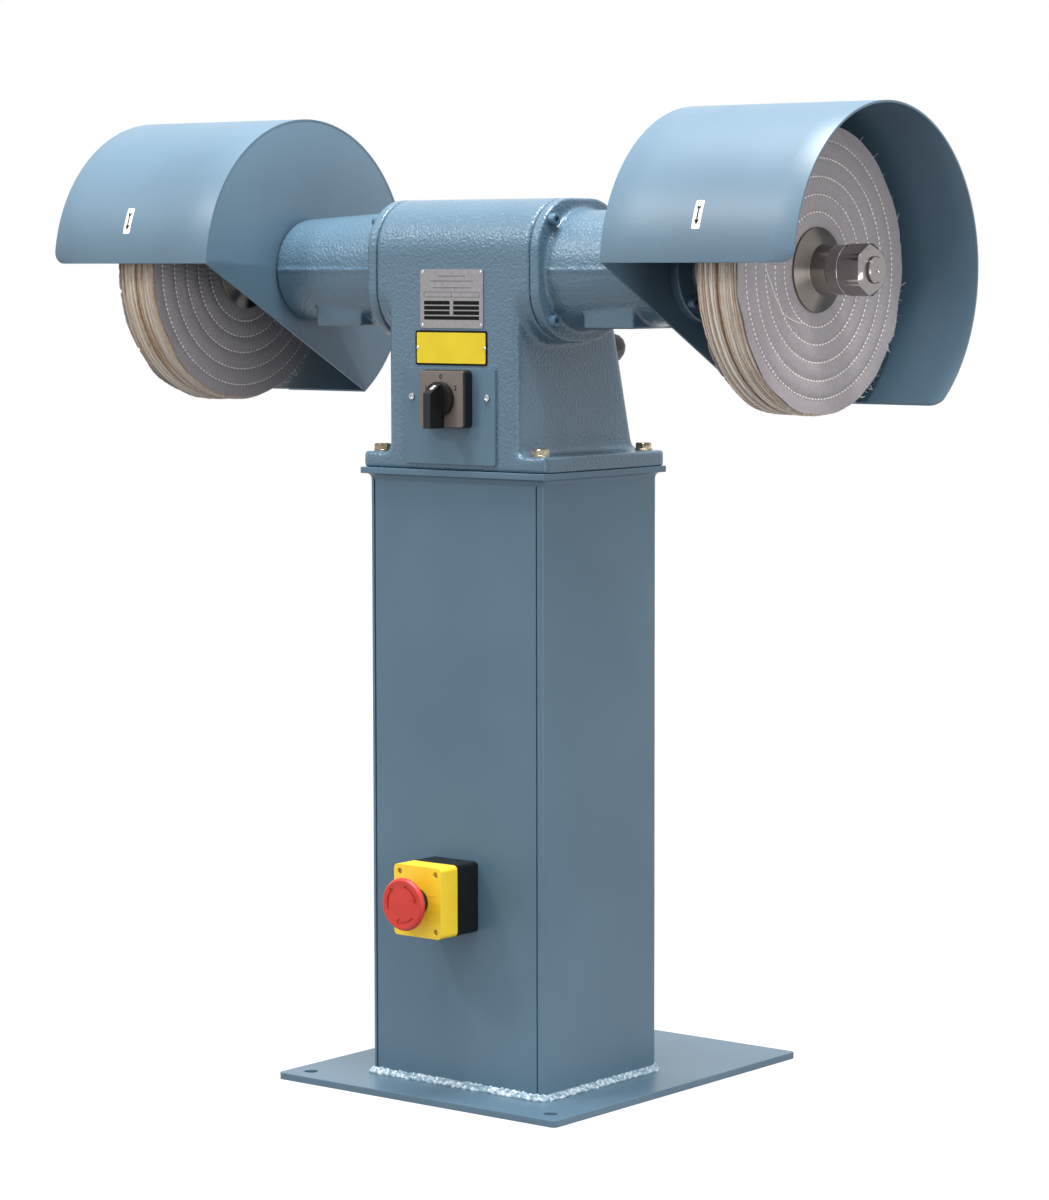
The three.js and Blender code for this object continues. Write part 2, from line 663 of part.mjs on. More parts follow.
function motorHousing() {
  const edge = {
    bevelEnabled: true,
    bevelThickness: BODY_EDGE_RADIUS,
    bevelSize: BODY_EDGE_RADIUS,
    bevelOffset: -BODY_EDGE_RADIUS,
    bevelSegments: BODY_EDGE_STEPS,
  };
  const bodyStart = -BODY_HALF_WIDTH + BODY_EDGE_RADIUS;
  const bodyOutline = bodyPoints(HOUSING_BOTTOM_Z - 2 * BODY_EDGE_RADIUS);
  const body = sideways(bodyOutline, bodyStart, -2 * bodyStart, 0, 0, edge);
  const barrel = sideways(
    barrelPoints(BARREL_HALF_SIDE, BARREL_CORNER_RADIUS),
    -BARREL_HALF_LENGTH, 2 * BARREL_HALF_LENGTH, SPINDLE_Y, SPINDLE_HEIGHT);
  const flangeDepth = FOOT_FLANGE_REAR_Y - HOUSING_FRONT_Y;
  const flangePlan = roundedRectanglePoints(
    2 * FOOT_FLANGE_HALF_WIDTH, flangeDepth, FOOT_FLANGE_CORNER_RADIUS);
  const flange = slab(
    flangePlan, HOUSING_BOTTOM_Z, FOOT_FLANGE_THICKNESS, 0, HOUSING_FRONT_Y + flangeDepth / 2);
  const below = box(
    [-FOOT_FLANGE_HALF_WIDTH, HOUSING_FRONT_Y - CUT_OVERRUN, 0],
    [FOOT_FLANGE_HALF_WIDTH, rearFaceY(0), HOUSING_BOTTOM_Z]);

  const cavityTopZ = SPINDLE_HEIGHT - MOTOR_BORE_RADIUS - BARREL_FLOOR;
  const cavityBottomZ = HOUSING_BOTTOM_Z - CUT_OVERRUN;
  const cavityHalfWidth = BODY_HALF_WIDTH - HOUSING_WALL;
  const cavity = sideways([
    [HOUSING_FRONT_Y + HOUSING_WALL, cavityBottomZ],
    [rearFaceY(cavityBottomZ, HOUSING_WALL), cavityBottomZ],
    [rearFaceY(cavityTopZ, HOUSING_WALL), cavityTopZ],
    [HOUSING_FRONT_Y + HOUSING_WALL, cavityTopZ],
  ], -cavityHalfWidth, 2 * cavityHalfWidth, 0, 0);

  const boreEnd = BARREL_HALF_LENGTH + CUT_OVERRUN;
  const bore = rodAlongX(MOTOR_BORE_RADIUS, -boreEnd, boreEnd, BORE_SIDES)
    .translate([0, SPINDLE_Y, SPINDLE_HEIGHT]);
  const wireHole = rodUp(
    WIRE_HOLE_RADIUS, WIRE_HOLE_X, SPINDLE_Y, cavityTopZ - CUT_OVERRUN, BARREL_FLOOR + 3 * CUT_OVERRUN);
  const apertureZ = SWITCH_Z - SWITCH_APERTURE_HEIGHT / 2;
  const aperture = box(
    [SWITCH_X - SWITCH_APERTURE_WIDTH / 2, HOUSING_FRONT_Y - CUT_OVERRUN, apertureZ],
    [SWITCH_X + SWITCH_APERTURE_WIDTH / 2, HOUSING_FRONT_Y + HOUSING_WALL + CUT_OVERRUN,
      apertureZ + SWITCH_APERTURE_HEIGHT]);
  const footHoles = footBoltPlaces().map(({ x, y }) => rodUp(
    FOOT_BOLT_HOLE_RADIUS, x, y, HOUSING_BOTTOM_Z - CUT_OVERRUN, FOOT_FLANGE_THICKNESS + 2 * CUT_OVERRUN));
  const screwHoles = [-1, 1].flatMap((side) => armScrewPlaces(ARM_SCREW_CIRCLE).map(({ y, z }) => {
    const ends = [side * (BARREL_HALF_LENGTH - ARM_SCREW_BITE - SEAT_GAP), side * boreEnd];
    return rodAlongX(CAP_SCREW_RADIUS + THREAD_GAP, Math.min(...ends), Math.max(...ends), TINY_SIDES)
      .translate([0, SPINDLE_Y + y, SPINDLE_HEIGHT + z]);
  }));
  const coverScrewHoles = [-1, 1].map((side) => rodForward(
    COVER_SCREW_RADIUS + THREAD_GAP, side * COVER_SCREW_X, HOUSING_FRONT_Y + COVER_SCREW_BITE + SEAT_GAP,
    COVER_SCREW_Z, COVER_SCREW_BITE + CUT_OVERRUN, TINY_SIDES));
  return cut(
    joined(body, barrel, flange), below, cavity, bore, wireHole, aperture, glandHole(),
    ...footHoles, ...screwHoles, ...coverScrewHoles);
}

// Pieces on the spindle line are built for the right-hand side in the spindle's own frame: X runs
// out along the shaft, Y to the rear and Z up from the shaft's centre.

function capScrew(x, y, z, gripLength) {
  const head = rodAlongX(CAP_SCREW_HEAD_RADIUS, x, x + CAP_SCREW_HEAD_HEIGHT);
  const shank = rodAlongX(CAP_SCREW_RADIUS, x - gripLength, x, TINY_SIDES);
  const socket = sideways(
    hexagonPoints(CAP_SCREW_SOCKET_FLATS), x + CAP_SCREW_HEAD_HEIGHT - CAP_SCREW_SOCKET_DEPTH,
    CAP_SCREW_SOCKET_DEPTH + CUT_OVERRUN, 0, 0);
  return cut(joined(head, shank), socket).translate([0, y, z]);
}

function armRadiusAt(x) {
  const share = (x - ARM_FACE_X) / (ARM_TIP_X - ARM_FACE_X);
  return ARM_ROOT_RADIUS + (ARM_TIP_RADIUS - ARM_ROOT_RADIUS) * share;
}

function bearingArm() {
  const flange = sideways(
    barrelPoints(BARREL_HALF_SIDE, BARREL_CORNER_RADIUS), BARREL_HALF_LENGTH, ARM_FLANGE_THICKNESS, 0, 0);
  const spigotX = BARREL_HALF_LENGTH - ARM_SPIGOT_LENGTH;
  const tipFilletX = ARM_TIP_X - ARM_TIP_FILLET;
  const rootHollow = ARM_ROOT_FILLET * FILLET_HOLLOW_SHARE;
  const casting = turnedAlongX([
    [spigotX, 0],
    [spigotX, MOTOR_BORE_RADIUS - SEAT_GAP],
    [BARREL_HALF_LENGTH + SEAT_GAP, MOTOR_BORE_RADIUS - SEAT_GAP],
    [ARM_FACE_X, ARM_ROOT_RADIUS + ARM_ROOT_FILLET],
    [ARM_FACE_X + rootHollow, armRadiusAt(ARM_FACE_X) + rootHollow],
    [ARM_FACE_X + ARM_ROOT_FILLET, armRadiusAt(ARM_FACE_X + ARM_ROOT_FILLET)],
    ...arcPoints(tipFilletX, armRadiusAt(tipFilletX) - ARM_TIP_FILLET, ARM_TIP_FILLET, 90, 0, BEND_STEPS),
    [ARM_TIP_X, 0],
  ]);
  const padEndX = ARM_PAD_START_X + ARM_PAD_LENGTH;
  const startRadius = armRadiusAt(ARM_PAD_START_X);
  const endRadius = armRadiusAt(padEndX);
  const pad = prism(
    [[ARM_PAD_START_X, -startRadius], [padEndX, -endRadius], [padEndX, 0], [ARM_PAD_START_X, 0]],
    2 * ARM_PAD_FRONT_OFFSET, AXIS_X, AXIS_Z, [0, ARM_PAD_FRONT_OFFSET, 0]);
  const ridges = [-1, 1].map((side) => prism([
    [ARM_FACE_X, 0],
    [tipFilletX, 0],
    [tipFilletX, side * (armRadiusAt(tipFilletX) + PARTING_RIDGE_HEIGHT)],
    [ARM_FACE_X, side * (armRadiusAt(ARM_FACE_X) + PARTING_RIDGE_HEIGHT)],
  ], PARTING_RIDGE_WIDTH, AXIS_X, AXIS_Y, [0, 0, -PARTING_RIDGE_WIDTH / 2]));

  const shoulderX = BEARING_SEAT_X - ARM_SHOULDER_THICKNESS;
  const hollow = turnedAlongX([
    [spigotX - CUT_OVERRUN, 0],
    [spigotX - CUT_OVERRUN, ARM_CAVITY_RADIUS],
    [shoulderX, ARM_CAVITY_RADIUS],
    [shoulderX, ARM_SHOULDER_RADIUS],
    [BEARING_SEAT_X, ARM_SHOULDER_RADIUS],
    [BEARING_SEAT_X, BEARING_OUTER_RADIUS],
    [ARM_TIP_X + CUT_OVERRUN, BEARING_OUTER_RADIUS],
    [ARM_TIP_X + CUT_OVERRUN, 0],
  ]);
  const flangeHoles = armScrewPlaces(ARM_SCREW_CIRCLE).map(({ y, z }) => rodAlongX(
    CAP_SCREW_RADIUS + THREAD_GAP, BARREL_HALF_LENGTH - CUT_OVERRUN, ARM_FACE_X + CUT_OVERRUN, TINY_SIDES)
    .translate([0, y, z]));
  const capHoles = armScrewPlaces(BEARING_CAP_SCREW_CIRCLE).map(({ y, z }) => rodAlongX(
    CAP_SCREW_RADIUS + THREAD_GAP, ARM_TIP_X - BEARING_CAP_SCREW_BITE - SEAT_GAP, ARM_TIP_X + CUT_OVERRUN,
    TINY_SIDES).translate([0, y, z]));
  return cut(joined(flange, casting, pad, ...ridges), hollow, ...flangeHoles, ...capHoles);
}

// The angle at which a ball or race circle meets a land
function landDegrees(landRadius, circleRadius) {
  return THREE.MathUtils.radToDeg(Math.asin((landRadius - BALL_PITCH_RADIUS) / circleRadius));
}

function bearingOuterRing() {
  const middle = BEARING_X + BEARING_WIDTH / 2;
  const raceRadius = BALL_RADIUS + RUNNING_GAP;
  const edgeDegrees = landDegrees(BEARING_OUTER_LAND, raceRadius);
  return turnedAlongX([
    [BEARING_X, BEARING_OUTER_RADIUS - SEAT_GAP],
    [BEARING_X + BEARING_WIDTH, BEARING_OUTER_RADIUS - SEAT_GAP],
    [BEARING_X + BEARING_WIDTH, BEARING_OUTER_LAND],
    ...arcPoints(middle, BALL_PITCH_RADIUS, raceRadius, edgeDegrees, 180 - edgeDegrees, BALL_ARC_STEPS),
    [BEARING_X, BEARING_OUTER_LAND],
    [BEARING_X, BEARING_OUTER_RADIUS - SEAT_GAP],
  ], INNER_SIDES);
}

// The inner ring carries its row of balls as one bulged band
function bearingInnerRing() {
  const middle = BEARING_X + BEARING_WIDTH / 2;
  const bore = BEARING_BORE_RADIUS + SEAT_GAP;
  const footDegrees = landDegrees(BEARING_INNER_LAND, BALL_RADIUS);
  return turnedAlongX([
    [BEARING_X, bore],
    [BEARING_X, BEARING_INNER_LAND],
    ...arcPoints(middle, BALL_PITCH_RADIUS, BALL_RADIUS, 180 - footDegrees, footDegrees, BALL_ARC_STEPS),
    [BEARING_X + BEARING_WIDTH, BEARING_INNER_LAND],
    [BEARING_X + BEARING_WIDTH, bore],
    [BEARING_X, bore],
  ], INNER_SIDES);
}

// The cap closes the bearing seat and clamps the guard's side plate with its four screws
function bearingCap() {
  const registerX = BEARING_X + BEARING_WIDTH + SEAT_GAP;
  const faceX = CAP_X + BEARING_CAP_THICKNESS;
  const noseX = faceX + BEARING_CAP_NOSE_LENGTH;
  const ring = turnedAlongX([
    [registerX, BEARING_OUTER_LAND],
    [registerX, BEARING_OUTER_RADIUS - SEAT_GAP],
    [CAP_X, BEARING_OUTER_RADIUS - SEAT_GAP],
    [CAP_X, BEARING_CAP_RADIUS],
    [faceX, BEARING_CAP_RADIUS],
    [faceX, BEARING_CAP_NOSE_RADIUS],
    [noseX, BEARING_CAP_NOSE_RADIUS],
    [noseX, BEARING_CAP_BORE_RADIUS],
    [CAP_X, BEARING_CAP_BORE_RADIUS],
    [CAP_X, BEARING_OUTER_LAND],
    [registerX, BEARING_OUTER_LAND],
  ]);
  const grip = faceX - ARM_TIP_X + BEARING_CAP_SCREW_BITE;
  const screws = armScrewPlaces(BEARING_CAP_SCREW_CIRCLE).map(({ y, z }) => capScrew(faceX, y, z, grip));
  return joined(ring, ...screws);
}

// A rounded-corner cutter for the guard's open rim, set square to the sheet at an angle
function guardCornerCutter(degrees, insideTurn) {
  const angle = THREE.MathUtils.degToRad(degrees);
  const radial = new THREE.Vector3(0, Math.cos(angle), Math.sin(angle));
  const along = new THREE.Vector3().crossVectors(AXIS_X, radial).multiplyScalar(insideTurn);
  const r = GUARD_CORNER_RADIUS;
  const points = [
    [GUARD_OUTER_X - r, -CUT_OVERRUN],
    [GUARD_OUTER_X + CUT_OVERRUN, -CUT_OVERRUN],
    [GUARD_OUTER_X + CUT_OVERRUN, r],
    ...arcPoints(GUARD_OUTER_X - r, r, r, 0, -90, BEND_STEPS),
  ];
  const depth = 2 * CUT_OVERRUN + GUARD_SHEET;
  const normal = new THREE.Vector3().crossVectors(AXIS_X, along);
  const start = radial.clone().multiplyScalar(GUARD_RADIUS - depth / 2);
  if (normal.dot(radial) < 0) start.addScaledVector(radial, depth);
  return prism(points, depth, AXIS_X, along, [start.x, start.y, start.z]);
}

function guard() {
  const arc = arcPoints(0, 0, GUARD_RADIUS, GUARD_TAIL_ANGLE, GUARD_LIP_ANGLE, GUARD_STEPS);
  const full = sideways(arc, GUARD_INNER_X, GUARD_WIDTH, 0, 0);
  const inside = rodAlongX(
    GUARD_RADIUS - GUARD_SHEET, GUARD_INNER_X + GUARD_SIDE_THICKNESS, GUARD_OUTER_X + CUT_OVERRUN,
    GUARD_INSIDE_SIDES);
  const capHole = rodAlongX(
    BEARING_OUTER_RADIUS + GUARD_CAP_HOLE_GAP, GUARD_INNER_X - CUT_OVERRUN, CAP_X + CUT_OVERRUN,
    TURNED_SIDES);
  const screwHoles = armScrewPlaces(BEARING_CAP_SCREW_CIRCLE).map(({ y, z }) => rodAlongX(
    CAP_SCREW_RADIUS + THREAD_GAP, GUARD_INNER_X - CUT_OVERRUN, CAP_X + CUT_OVERRUN, TINY_SIDES)
    .translate([0, y, z]));
  return cut(
    full, inside, capHole, ...screwHoles,
    guardCornerCutter(GUARD_LIP_ANGLE, -1), guardCornerCutter(GUARD_TAIL_ANGLE, 1));
}

function stator() {
  const windingEnd = STATOR_HALF_LENGTH + WINDING_OVERHANG;
  const outer = MOTOR_BORE_RADIUS - SEAT_GAP;
  return turnedAlongX([
    [-windingEnd, WINDING_INNER_RADIUS],
    [-windingEnd, WINDING_OUTER_RADIUS],
    [-STATOR_HALF_LENGTH, WINDING_OUTER_RADIUS],
    [-STATOR_HALF_LENGTH, outer],
    [STATOR_HALF_LENGTH, outer],
    [STATOR_HALF_LENGTH, WINDING_OUTER_RADIUS],
    [windingEnd, WINDING_OUTER_RADIUS],
    [windingEnd, WINDING_INNER_RADIUS],
    [STATOR_HALF_LENGTH, WINDING_INNER_RADIUS],
    [STATOR_HALF_LENGTH, STATOR_BORE_RADIUS],
    [-STATOR_HALF_LENGTH, STATOR_BORE_RADIUS],
    [-STATOR_HALF_LENGTH, WINDING_INNER_RADIUS],
    [-windingEnd, WINDING_INNER_RADIUS],
  ], INNER_SIDES);
}

function rotor() {
  const ringEnd = STATOR_HALF_LENGTH + ROTOR_END_RING_LENGTH;
  const bore = SHAFT_CORE_RADIUS + SEAT_GAP;
  const outer = STATOR_BORE_RADIUS - ROTOR_AIR_GAP;
  return turnedAlongX([
    [-ringEnd, bore],
    [-ringEnd, ROTOR_END_RING_RADIUS],
    [-STATOR_HALF_LENGTH, ROTOR_END_RING_RADIUS],
    [-STATOR_HALF_LENGTH, outer],
    [STATOR_HALF_LENGTH, outer],
    [STATOR_HALF_LENGTH, ROTOR_END_RING_RADIUS],
    [ringEnd, ROTOR_END_RING_RADIUS],
    [ringEnd, bore],
    [-ringEnd, bore],
  ], INNER_SIDES);
}

function shaft() {
  const bearingShoulderX = BEARING_X - SEAT_GAP;
  const threadX = OUTER_FLANGE_X;
  const half = [
    [bearingShoulderX, SHAFT_CORE_RADIUS],
    [bearingShoulderX, BEARING_BORE_RADIUS],
    [SHAFT_SHOULDER_X, BEARING_BORE_RADIUS],
    [SHAFT_SHOULDER_X, SHAFT_MOP_SEAT_RADIUS],
    [threadX, SHAFT_MOP_SEAT_RADIUS],
    [threadX, SHAFT_THREAD_RADIUS],
    [SHAFT_END_X - SHAFT_END_CHAMFER, SHAFT_THREAD_RADIUS],
    [SHAFT_END_X, SHAFT_THREAD_RADIUS - SHAFT_END_CHAMFER],
    [SHAFT_END_X, CENTRE_HOLE_RADIUS],
    [SHAFT_END_X - CENTRE_HOLE_DEPTH, 0],
  ];
  const mirrored = half.map(([x, r]) => [-x, r]).reverse();
  return turnedAlongX([...mirrored, ...half], INNER_SIDES);
}

function innerMopFlange() {
  const discX = MOP_SEAT_X - MOP_FLANGE_THICKNESS;
  const bore = SHAFT_MOP_SEAT_RADIUS + SEAT_GAP;
  return turnedAlongX([
    [SHAFT_SHOULDER_X + SEAT_GAP, bore],
    [SHAFT_SHOULDER_X + SEAT_GAP, MOP_HUB_RADIUS],
    [discX, MOP_HUB_RADIUS],
    [MOP_SEAT_X - MOP_FLANGE_RIM, MOP_FLANGE_RADIUS],
    [MOP_SEAT_X, MOP_FLANGE_RADIUS],
    [MOP_SEAT_X, bore],
    [SHAFT_SHOULDER_X + SEAT_GAP, bore],
  ]);
}

function outerMopFlange() {
  const bore = SHAFT_THREAD_RADIUS + SEAT_GAP;
  return turnedAlongX([
    [OUTER_FLANGE_X, bore],
    [OUTER_FLANGE_X, MOP_FLANGE_RADIUS],
    [OUTER_FLANGE_X + MOP_FLANGE_RIM, MOP_FLANGE_RADIUS],
    [OUTER_BOSS_X, OUTER_BOSS_RADIUS],
    [NUT_X, OUTER_BOSS_RADIUS],
    [NUT_X, bore],
    [OUTER_FLANGE_X, bore],
  ]);
}

function spindleNut() {
  const bore = SHAFT_THREAD_RADIUS + THREAD_GAP;
  const start = NUT_X + SEAT_GAP;
  const grooveX = start + NUT_COLLAR_LENGTH;
  const bodyX = grooveX + NUT_COLLAR_GROOVE;
  const turned = turnedAlongX([
    [start, bore],
    [start, NUT_COLLAR_RADIUS],
    [grooveX, NUT_COLLAR_RADIUS],
    [grooveX, NUT_COLLAR_RADIUS - NUT_COLLAR_GROOVE],
    [bodyX, NUT_COLLAR_RADIUS - NUT_COLLAR_GROOVE],
    [bodyX, NUT_RADIUS],
    [NUT_END_X - NUT_CHAMFER, NUT_RADIUS],
    [NUT_END_X, NUT_END_RADIUS],
    [NUT_END_X, bore],
    [start, bore],
  ]);
  const flats = sideways(hexagonPoints(NUT_FLATS), NUT_END_X - NUT_LENGTH, NUT_LENGTH + CUT_OVERRUN, 0, 0);
  const collar = rodAlongX(NUT_RADIUS + CUT_OVERRUN, start - CUT_OVERRUN, bodyX + NUT_CHAMFER, TINY_SIDES);
  return turned.intersect(joined(flats, collar));
}

// The cloth leans outboard beyond the flanges, more towards the rim.
function mopLean(radius) {
  const beyond = Math.max(0, radius - MOP_FLANGE_RADIUS);
  return (MOP_LEAN * beyond) / (MOP_RADIUS - MOP_FLANGE_RADIUS);
}

// A stitched face draws in at each ring of stitches and puffs out between them.
function stitchedFace(faceX, outward) {
  return Array.from({ length: 2 * MOP_STITCH_RINGS - 1 }, (_, i) => {
    const radius = MOP_STITCH_FIRST + (i * MOP_STITCH_PITCH) / 2;
    const puff = i % 2 === 0 ? 0 : outward * MOP_PUFF;
    return [faceX + puff, radius];
  });
}

function mop(startX, facesOut) {
  const endX = startX + MOP_THICKNESS;
  const bore = SHAFT_MOP_SEAT_RADIUS + MOP_BORE_GAP;
  const [faceX, backX, outward] = facesOut ? [endX, startX, 1] : [startX, endX, -1];
  const profile = [
    [faceX, bore],
    [faceX, MOP_FLANGE_RADIUS],
    ...stitchedFace(faceX, outward),
    [faceX, MOP_RADIUS - MOP_RIM_ROUND],
    [faceX - outward * MOP_RIM_ROUND, MOP_RADIUS],
    [backX + outward * MOP_RIM_ROUND, MOP_RADIUS],
    [backX, MOP_RADIUS - 2 * MOP_RIM_ROUND],
    [backX, MOP_FLANGE_RADIUS],
    [backX, bore],
    [faceX, bore],
  ];
  return turnedAlongX(profile.map(([x, r]) => [x + mopLean(r), r]), MOP_SIDES);
}

// Plates and their rivets

function rivetedPlate(plate, rivetPlaces) {
  const sheet = facing(
    roundedRectanglePoints(plate.width, plate.height, PLATE_CORNER_RADIUS),
    HOUSING_FRONT_Y, PLATE_THICKNESS, plate.x, plate.z);
  const rivets = rivetPlaces.map(([dx, dz]) => turnedForward([
    [0, 0], [0, RIVET_RADIUS], [PLATE_THICKNESS, RIVET_RADIUS], [PLATE_THICKNESS + RIVET_HEIGHT, 0],
  ], plate.x + dx, HOUSING_FRONT_Y, plate.z + dz, TINY_SIDES));
  return joined(sheet, ...rivets);
}

function ratingPlate() {
  const dx = RATING_PLATE.width / 2 - RATING_PLATE.rivetInset;
  const dz = RATING_PLATE.height / 2 - RATING_PLATE.rivetInset;
  return rivetedPlate(RATING_PLATE, [[-dx, -dz], [-dx, dz], [dx, -dz], [dx, dz]]);
}

function noticePlate() {
  const dx = NOTICE_PLATE.width / 2 - NOTICE_PLATE.rivetInset;
  return rivetedPlate(NOTICE_PLATE, [[-dx, 0], [dx, 0]]);
}

function switchCoverPlate() {
  const plate = facing(
    roundedRectanglePoints(COVER_PLATE_WIDTH, COVER_PLATE_HEIGHT, COVER_PLATE_CORNER_RADIUS),
    HOUSING_FRONT_Y, COVER_PLATE_THICKNESS, 0, COVER_PLATE_BOTTOM_Z + COVER_PLATE_HEIGHT / 2);
  const cutY = HOUSING_FRONT_Y + CUT_OVERRUN;
  const cutLength = COVER_PLATE_THICKNESS + 2 * CUT_OVERRUN;
  const neck = rodForward(SWITCH_NECK_RADIUS + SEAT_GAP, SWITCH_X, cutY, SWITCH_Z, cutLength);
  const holes = [-1, 1].map((side) => rodForward(
    COVER_SCREW_RADIUS + THREAD_GAP, side * COVER_SCREW_X, cutY, COVER_SCREW_Z, cutLength, TINY_SIDES));
  return cut(plate, neck, ...holes);
}

function coverScrew(side) {
  const x = side * COVER_SCREW_X;
  const grip = COVER_PLATE_THICKNESS + COVER_SCREW_BITE;
  const shank = rodForward(
    COVER_SCREW_RADIUS, x, COVER_PLATE_FRONT_Y + grip, COVER_SCREW_Z, grip, TINY_SIDES);
  const head = turnedForward([
    [0, 0],
    [0, COVER_SCREW_HEAD_RADIUS],
    [COVER_SCREW_HEAD_HEIGHT / 2, COVER_SCREW_HEAD_RADIUS],
    [COVER_SCREW_HEAD_HEIGHT, COVER_SCREW_HEAD_RADIUS / 2],
    [COVER_SCREW_HEAD_HEIGHT, 0],
  ], x, COVER_PLATE_FRONT_Y, COVER_SCREW_Z, SMALL_SIDES);
  const socketY = COVER_PLATE_FRONT_Y - COVER_SCREW_HEAD_HEIGHT + COVER_SCREW_SOCKET_DEPTH;
  const socket = facing(
    hexagonPoints(COVER_SCREW_SOCKET_FLATS), socketY, COVER_SCREW_SOCKET_DEPTH + CUT_OVERRUN, x,
    COVER_SCREW_Z);
  return cut(joined(shank, head), socket);
}

// Rotary switch

function switchBase() {
  const block = facing(
    roundedRectanglePoints(SWITCH_BASE_SIDE, SWITCH_BASE_SIDE, SWITCH_BASE_CORNER_RADIUS),
    COVER_PLATE_FRONT_Y, SWITCH_BASE_DEPTH, SWITCH_X, SWITCH_Z);
  const spindleHole = rodForward(
    SWITCH_SPINDLE_RADIUS + RUNNING_GAP, SWITCH_X, COVER_PLATE_FRONT_Y + CUT_OVERRUN, SWITCH_Z,
    SWITCH_BASE_DEPTH + 2 * CUT_OVERRUN);
  return cut(block, spindleHole);
}

function switchFacePlate() {
  const plate = facing(
    roundedRectanglePoints(SWITCH_FACE_SIDE, SWITCH_FACE_SIDE, SWITCH_FACE_CORNER_RADIUS),
    SWITCH_FACE_Y, SWITCH_FACE_THICKNESS, SWITCH_X, SWITCH_Z);
  const spindleHole = rodForward(
    SWITCH_SPINDLE_RADIUS + RUNNING_GAP, SWITCH_X, SWITCH_FACE_Y + CUT_OVERRUN, SWITCH_Z,
    SWITCH_FACE_THICKNESS + 2 * CUT_OVERRUN);
  return cut(plate, spindleHole);
}

function switchKnob() {
  const gripY = KNOB_Y - KNOB_DISC_DEPTH;
  const disc = rodForward(KNOB_DISC_RADIUS, SWITCH_X, KNOB_Y, SWITCH_Z, KNOB_DISC_DEPTH, TURNED_SIDES);
  const frontY = gripY - KNOB_GRIP_DEPTH;
  const grip = sideways([
    [KNOB_Y, -KNOB_GRIP_TAIL],
    [KNOB_Y, KNOB_GRIP_TOP],
    [gripY, KNOB_GRIP_TOP],
    [frontY, KNOB_GRIP_TOP - KNOB_TOP_SLANT],
    [frontY, -KNOB_GRIP_TAIL],
  ], SWITCH_X - KNOB_GRIP_WIDTH / 2, KNOB_GRIP_WIDTH, 0, SWITCH_Z);
  const spindleEndY = KNOB_Y + SWITCH_SPINDLE_BITE;
  const spindle = rodForward(SWITCH_SPINDLE_RADIUS, SWITCH_X, spindleEndY, SWITCH_Z, SWITCH_SPINDLE_BITE);
  return joined(disc, grip, spindle);
}

function switchContactBlock() {
  const half = SWITCH_BLOCK_SIDE / 2;
  const block = box(
    [SWITCH_X - half, HOUSING_FRONT_Y, SWITCH_Z - half],
    [SWITCH_X + half, HOUSING_FRONT_Y + SWITCH_BLOCK_DEPTH, SWITCH_Z + half]);
  const neck = rodForward(SWITCH_NECK_RADIUS, SWITCH_X, HOUSING_FRONT_Y, SWITCH_Z, COVER_PLATE_THICKNESS);
  return joined(block, neck);
}

// Emergency stop

function stopScrewPlaces() {
  const dx = STOP_WIDTH / 2 - STOP_SCREW_INSET;
  const dz = STOP_HEIGHT / 2 - STOP_SCREW_INSET;
  return [-1, 1].flatMap((sideX) => [-1, 1].map((sideZ) => [STOP_X + sideX * dx, STOP_Z + sideZ * dz]));
}

function stopShell(startY, depth, openY) {
  const shell = facing(
    roundedRectanglePoints(STOP_WIDTH, STOP_HEIGHT, STOP_CORNER_RADIUS), startY, depth, STOP_X, STOP_Z);
  const inside = facing(
    roundedRectanglePoints(
      STOP_WIDTH - 2 * STOP_WALL, STOP_HEIGHT - 2 * STOP_WALL, STOP_CORNER_RADIUS - STOP_WALL),
    openY, depth - STOP_WALL + CUT_OVERRUN, STOP_X, STOP_Z);
  const posts = stopScrewPlaces().map(([x, z]) => rodForward(
    STOP_POST_RADIUS, x, startY, z, depth, TINY_SIDES));
  return joined(cut(shell, inside), ...posts);
}

function stopBoxBase() {
  return stopShell(COLUMN_FRONT_Y, STOP_BASE_DEPTH, COLUMN_FRONT_Y - STOP_WALL);
}

function stopBoxCover() {
  const shell = stopShell(STOP_COVER_Y, STOP_COVER_DEPTH, STOP_COVER_Y + CUT_OVERRUN);
  const wells = stopScrewPlaces().map(([x, z]) => rodForward(
    STOP_SCREW_WELL_RADIUS, x, STOP_BEZEL_Y + STOP_SCREW_WELL_DEPTH, z, STOP_SCREW_WELL_DEPTH + CUT_OVERRUN,
    TINY_SIDES));
  const neck = rodForward(
    STOP_NECK_RADIUS + SEAT_GAP, STOP_X, STOP_COVER_Y + CUT_OVERRUN, STOP_Z,
    STOP_COVER_DEPTH + 2 * CUT_OVERRUN);
  return cut(shell, neck, ...wells);
}

function stopBezel() {
  const bore = STOP_STEM_RADIUS + RUNNING_GAP;
  return turnedForward([
    [-STOP_NECK_LENGTH, bore],
    [-STOP_NECK_LENGTH, STOP_NECK_RADIUS],
    [0, STOP_NECK_RADIUS],
    [0, STOP_BEZEL_RADIUS],
    [STOP_BEZEL_DEPTH / 2, STOP_BEZEL_RADIUS],
    [STOP_BEZEL_DEPTH, STOP_BEZEL_NOSE_RADIUS],
    [STOP_BEZEL_DEPTH, bore],
    [-STOP_NECK_LENGTH, bore],
  ], STOP_X, STOP_BEZEL_Y, STOP_Z, SMALL_SIDES);
}

function stopContactBlock() {
  const backY = COLUMN_FRONT_Y - STOP_WALL;
  return box(
    [STOP_X - STOP_BLOCK_WIDTH / 2, backY - STOP_BLOCK_DEPTH, STOP_Z - STOP_BLOCK_HEIGHT / 2],
    [STOP_X + STOP_BLOCK_WIDTH / 2, backY, STOP_Z + STOP_BLOCK_HEIGHT / 2]);
}

